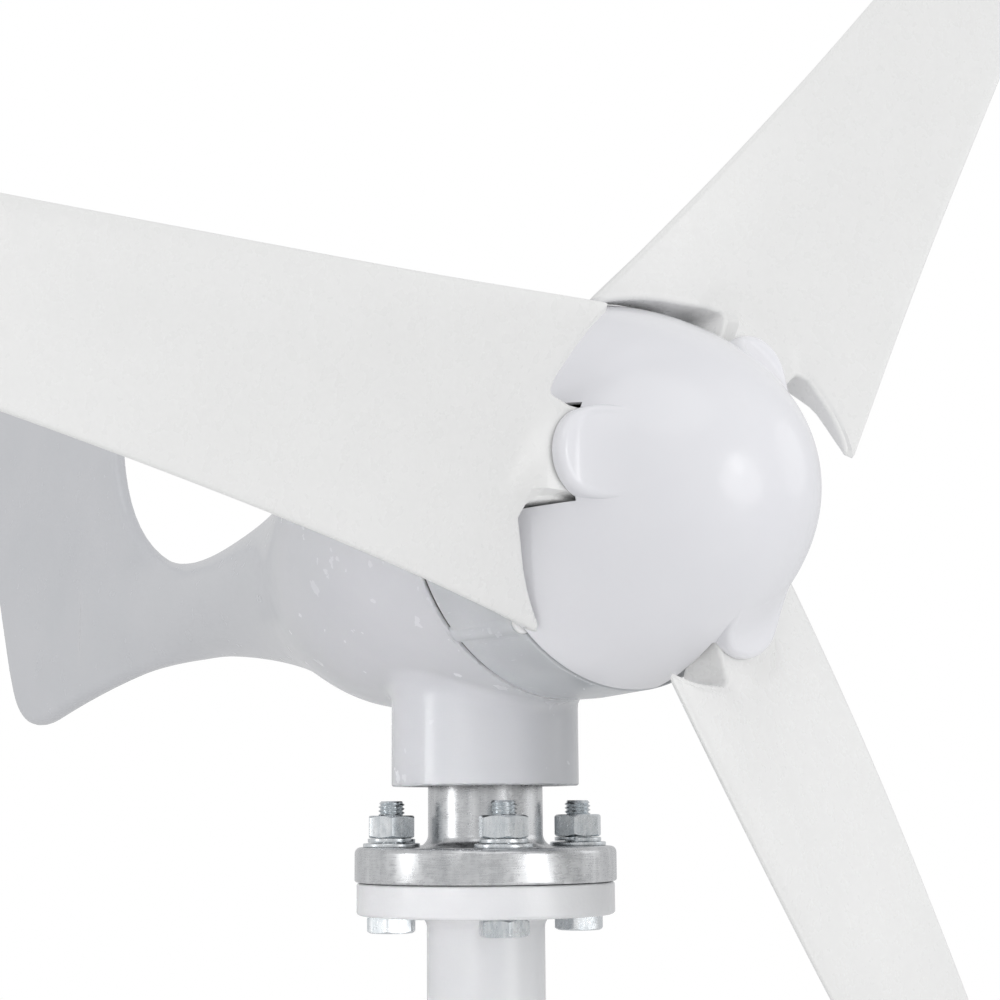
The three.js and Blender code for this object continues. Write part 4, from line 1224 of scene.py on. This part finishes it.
def blade_mesh():
    """Vertices and faces of one blade along +Y, with its root end wall and pad walls."""
    rows, first, last = blade_grid()
    pad = pad_rows(rows[0][first : last + 1])
    plan, limits = np.split(np.concatenate(rows + pad), 2, axis=1)
    count = len(plan)
    base = count - sum(map(len, pad))
    index = np.arange(base).reshape(len(rows), -1)
    pad_index = np.arange(base, count).reshape(len(pad), -1)
    pad_index = np.concatenate((index[:1, first : last + 1], pad_index))
    quads = [
        (block[i, j], block[i, j + 1], block[i + 1, j + 1], block[i + 1, j])
        for block in (index, pad_index[::-1])
        for i in range(block.shape[0] - 1)
        for j in range(block.shape[1] - 1)
    ]
    rim = [*index[0, : first + 1], *pad_index[1:, 0], *pad_index[-1, 1:]]
    rim += [*pad_index[-2:0:-1, -1], *index[0, last:]]
    front, back = blade_surfaces(*plan.T, *limits.T)
    outline = plan[rim]
    outward = outward_normals(outline)
    bevel = np.minimum(WALL_ROUND, 0.46 * (front[rim] - back[rim]))
    draft = np.where(np.array(rim) >= base, PAD_DRAFT * smoothstep((66 - outline[:, 0]) / 8), 0)
    face_plan, back_plan = plan.copy(), plan.copy()
    face_plan[rim] = outline - outward * (bevel + draft)[:, None]
    back_plan[rim] = outline - outward * bevel[:, None]
    vertices = [stack(x, flat[:, 0], -flat[:, 1]) for x, flat in ((front, face_plan), (back, back_plan))]
    faces = quads + [tuple(i + count for i in reversed(q)) for q in quads]
    arc = np.linspace(0, np.pi / 2, 6)
    rings = [(bevel * (1 - math.sin(a)) + draft, front[rim] - bevel * (1 - math.cos(a))) for a in arc[1:]]
    rings += [(bevel * (1 - math.sin(a)), back[rim] + bevel * (1 - math.cos(a))) for a in arc[:0:-1]]
    same = list(range(2 * count))
    start = 2 * count
    previous = list(rim)
    for shift, x in rings:
        spot = outline - outward * shift[:, None]
        vertices.append(stack(x, spot[:, 0], -spot[:, 1]))
        ring = list(range(start, start + len(rim)))
        same += [rim[0]] + ring[1:-1] + [rim[-1]]
        start += len(rim)
        faces += [(previous[i], previous[i + 1], ring[i + 1], ring[i]) for i in range(len(rim) - 1)]
        previous = ring
    ring = [i + count for i in rim]
    faces += [(previous[i], previous[i + 1], ring[i + 1], ring[i]) for i in range(len(rim) - 1)]
    same = np.array(same)
    for i in list(index[:, 0]) + list(index[:, -1]):
        same[i + count] = i
    for i in index[-1]:
        same[i] = same[i + count] = index[-1, 0]
    return np.concatenate(vertices), stitched(faces, same)


def blades():
    v, f = blade_mesh()
    for i, turn in enumerate(BLADE_TURNS):
        obj = new_mesh(f"blade_moulded_{i + 1}", at_blade(v, turn), f, 0)
        finish_piece(obj, "rotor", "blade_white", [f"blade_{i + 1}"], 40)


def dome_x(rho, inset=0.0):
    """Height of the spinner's skin at a distance from the rotor axis."""
    share = np.clip(rho / (SPINNER_RADIUS - inset), 0, 1)
    return SPINNER_RIM_X + (SPINNER_LENGTH - inset) * (1 - share**SPINNER_POWER_R) ** (1 / SPINNER_POWER_X)


def spinner_profile(inset, steps):
    """The dome's outline in (radius, x), from its rim to its nose."""
    u = np.sin(np.linspace(0, np.pi / 2, steps + 1)) ** 1.5
    radius = (SPINNER_RADIUS - inset) * np.maximum(1 - u**SPINNER_POWER_X, 0) ** (1 / SPINNER_POWER_R)
    return stack(radius, SPINNER_RIM_X + (SPINNER_LENGTH - inset) * u)


def tongue():
    """The spinner's round tongue over a blade root, drawn with its blade along +Y."""
    low, top = PAD_FRONT_X + TONGUE_LIFT, PAD_FRONT_X + TONGUE_HEIGHT
    bend = TONGUE_TIP - TONGUE_HALF_WIDTH
    arc = np.linspace(-np.pi / 2, np.pi / 2, 49)
    side = np.linspace(TONGUE_START, bend, 5)[:-1]
    outline = np.concatenate((
        stack(side, -TONGUE_HALF_WIDTH),
        stack(bend + TONGUE_HALF_WIDTH * np.cos(arc), TONGUE_HALF_WIDTH * np.sin(arc)),
        stack(side[::-1], TONGUE_HALF_WIDTH),
    ))
    outline[:, 1] += TONGUE_SIDE
    centre = np.array([TONGUE_START + 3, TONGUE_SIDE])
    reach = np.linalg.norm(outline - centre, axis=1)[:, None]
    rim = centre + (outline - centre) * (1 - TONGUE_EDGE / reach)
    rows = []
    for share in np.linspace(0, 1, 26):
        r, across = (centre + (rim - centre) * share).T
        rows.append(stack(tongue_top(np.hypot(r, across), top), r, -across))
    rim_top = rows[-1][:, 0]
    for angle in np.linspace(0, np.pi / 2, 8)[1:]:
        r, across = (rim + (outline - rim) * math.sin(angle)).T
        rows.append(stack(rim_top - TONGUE_EDGE * (1 - math.cos(angle)), r, -across))
    rows.append(stack(low, outline[:, 0], -outline[:, 1]))
    rows.append(np.full_like(rows[0], (low, centre[0], -centre[1])))
    return np.concatenate(rows), grid_faces(len(rows), len(outline), False, True)


def tongue_top(rho, top):
    """The tongue's face: level at its tip, running up into the dome's skin."""
    skin = dome_x(rho)
    h = np.clip(0.5 + 0.5 * (skin - top) / TONGUE_BLEND, 0, 1)
    return top + (skin - top) * h + TONGUE_BLEND * h * (1 - h) - 0.04


def spinner():
    """The dome, slotted for each blade root, with a tongue over each slot."""
    outer = spinner_profile(0.0, 72)[::-1]
    inner = spinner_profile(SPINNER_WALL, 36)
    bore = SPINNER_RADIUS - SPINNER_WALL
    skirt = [(SPINNER_RADIUS, SKIRT_X + 0.4), (SPINNER_RADIUS - 0.15, SKIRT_X + 0.1),
             (SPINNER_RADIUS - 0.4, SKIRT_X), (bore + 0.3, SKIRT_X), (bore, SKIRT_X + 0.3)]
    v, f = turned(np.concatenate((outer, skirt, inner)), 216)
    obj = new_mesh("spinner_dome", to_rotor_axis(v), f, 0.0005)
    ends = ((SLOT_BACK_X, SLOT_TRAIL[0]), (PAD_FRONT_X + TONGUE_LIFT, SLOT_TRAIL[1]))
    corners = [(x, r, -t) for x, trail in ends for r in SLOT_RADII for t in (trail, SLOT_LEAD)]
    sides = [(0, 1, 3, 2), (4, 6, 7, 5), (0, 4, 5, 1), (2, 3, 7, 6), (0, 2, 6, 4), (1, 5, 7, 3)]
    for i, turn in enumerate(BLADE_TURNS):
        combined(obj, new_mesh(f"slot_{i}", at_blade(corners, turn), sides), "DIFFERENCE")
    v, f = tongue()
    for i, turn in enumerate(BLADE_TURNS):
        combined(obj, new_mesh(f"tongue_{i}", at_blade(v, turn), f, 0.0005), "UNION")
    finish_piece(obj, "rotor", "spinner_white", ["spinner"], 30)


def hub_plate():
    """The plate that the blades bolt to, with its boss towards the cover."""
    outline = rounded([
        (HUB_BORE, 84, 0.4), (HUB_BOSS, 84, 0.8), (HUB_BOSS, HUB_BACK_X, 1.5), (HUB_RADIUS, HUB_BACK_X, 0.8),
        (HUB_RADIUS, HUB_FRONT_X, 0.8), (HUB_BORE, HUB_FRONT_X, 0.5),
    ], 4)
    v, f = turned(outline)
    obj = new_mesh("hub_plate_turned", to_rotor_axis(v), f)
    material = turned_metal("hub_aluminium", (0.45, 0.46, 0.47), (0.66, 0.67, 0.68), 0.3, True)
    finish_piece(obj, "rotor", "turned_aluminium", ["rotor_hub"], material=material)


def carried_over():
    """Gives every CAD node that still shows its slot's procedural material."""
    for part in frame["record"]["subparts"]:
        node = frame["nodes"][part["node"]]
        if node.hide_render:
            continue
        node.data.materials.clear()
        node.data.materials.append(FINISH[part["material_slot"]])


# ---- camera and stage ----
CAMERA_LENS = 70.92
CAMERA_PLACE = (0.60105, -0.47451, 0.18801)
CAMERA_FORWARD = (-0.77002, 0.61846, 0.15675)
CAMERA_RIGHT = (0.62536, 0.78031, -0.00672)
FLOOR_Z = -460.0
FLOOR_RADIUS = 2400.0
WORLD_LIGHT = 0.66
STRIP_DISTANCE = 2.3
# a narrow light for the neck and the mast, from beside the camera and a little below
LOW_LIGHT_PLACE = (0.44, -1.22, 0.05)
LOW_LIGHT_TARGET = (0.0, 0.0, 0.2)
LOW_LIGHT_SIZE = (0.12, 0.22)
LOW_LIGHT_SPREAD = math.radians(8)
LOW_LIGHT_POWER = 0.022
# name, turn about Z in degrees, lift over the rotor axis, width, height (metres), brightness
STRIPS = [
    ("strip_left", -109, 0.2, 0.4, 1.1, 4.0),
    ("strip_front", -68, 0.5, 0.12, 0.9, 3.0),
    ("strip_right", 8, 0.35, 0.5, 0.5, 2.0),
    ("strip_side", 60, 0.6, 1.2, 1.3, 0.65),
    ("strip_thin", 1, -0.25, 0.06, 0.5, 3.0),
    ("softbox_front", 12, -0.05, 1.5, 1.3, 1.6),
    ("softbox_top", -38, 3.0, 3.4, 3.4, 0.65),
]


def add_area(name, place, target, size, power, colour=(1, 1, 1)):
    light = bpy.data.lights.new(name, "AREA")
    light.shape = "ELLIPSE"
    light.size, light.size_y = size
    light.energy = power
    light.color = colour
    obj = bpy.data.objects.new(name, light)
    bpy.context.scene.collection.objects.link(obj)
    obj.location = place
    obj.rotation_euler = (Vector(target) - Vector(place)).to_track_quat("-Z", "Y").to_euler()
    return obj


def stage():
    """A pale round floor, a white backdrop, and soft lights round the object."""
    scene = bpy.context.scene
    scene.view_settings.view_transform = "Standard"
    low = FLOOR_Z - 20
    v, f = turned([(0, low), (FLOOR_RADIUS, low), (FLOOR_RADIUS, FLOOR_Z), (0, FLOOR_Z)], 96)
    floor = new_mesh("floor", v, f)
    n = Nodes("pale_floor")
    shade = n.ramp(n.noise(400), (0.3, (0.84, 0.84, 0.84)), (0.7, (0.88, 0.88, 0.88)))
    floor.data.materials.append(n.finished(Base_Color=shade, Roughness=0.6))
    floor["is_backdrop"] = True
    world = bpy.data.worlds.new("studio")
    scene.world = world
    world.use_nodes = True
    nodes, links = world.node_tree.nodes, world.node_tree.links
    light = nodes["Background"]
    light.inputs["Color"].default_value = (0.985, 0.99, 1.0, 1)
    light.inputs["Strength"].default_value = WORLD_LIGHT
    seen = nodes.new("ShaderNodeBackground")
    seen.inputs["Color"].default_value = (1, 1, 1, 1)
    seen.inputs["Strength"].default_value = 1.0
    path = nodes.new("ShaderNodeLightPath")
    mix = nodes.new("ShaderNodeMixShader")
    links.new(path.outputs["Is Camera Ray"], mix.inputs[0])
    links.new(light.outputs[0], mix.inputs[1])
    links.new(seen.outputs[0], mix.inputs[2])
    links.new(mix.outputs[0], nodes["World Output"].inputs["Surface"])
    for name, turn, lift, width, height, glow in STRIPS:
        angle = math.radians(turn)
        place = (STRIP_DISTANCE * math.cos(angle), STRIP_DISTANCE * math.sin(angle), AXIS_Z * MM + lift)
        add_area(name, place, (0, 0, AXIS_Z * MM), (width, height), glow * math.pi**2 * width * height / 4)
    low = add_area("strip_low", LOW_LIGHT_PLACE, LOW_LIGHT_TARGET, LOW_LIGHT_SIZE, LOW_LIGHT_POWER)
    low.data.spread = LOW_LIGHT_SPREAD
    low.visible_glossy = False


def camera():
    data = bpy.data.cameras.new("camera")
    data.sensor_width = 36
    data.lens = CAMERA_LENS
    data.clip_start = 0.01
    obj = bpy.data.objects.new("camera", data)
    bpy.context.scene.collection.objects.link(obj)
    forward, right = unit(CAMERA_FORWARD), unit(CAMERA_RIGHT)
    turn = Matrix(np.stack((right, np.cross(right, forward), -forward), axis=1).tolist())
    obj.matrix_world = Matrix.Translation(CAMERA_PLACE) @ turn.to_4x4()
    bpy.context.scene.camera = obj


camera()
stage()
mast_tube_flange()
swivel()
mast_fasteners()
nacelle_housing()
front_cover()
seam_shade_filler()
cover_screws()
blades()
spinner()
hub_plate()
carried_over()

visual_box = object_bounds()
plain = [[list(map(float, corner)) for corner in box] for box in (cad_box, visual_box)]
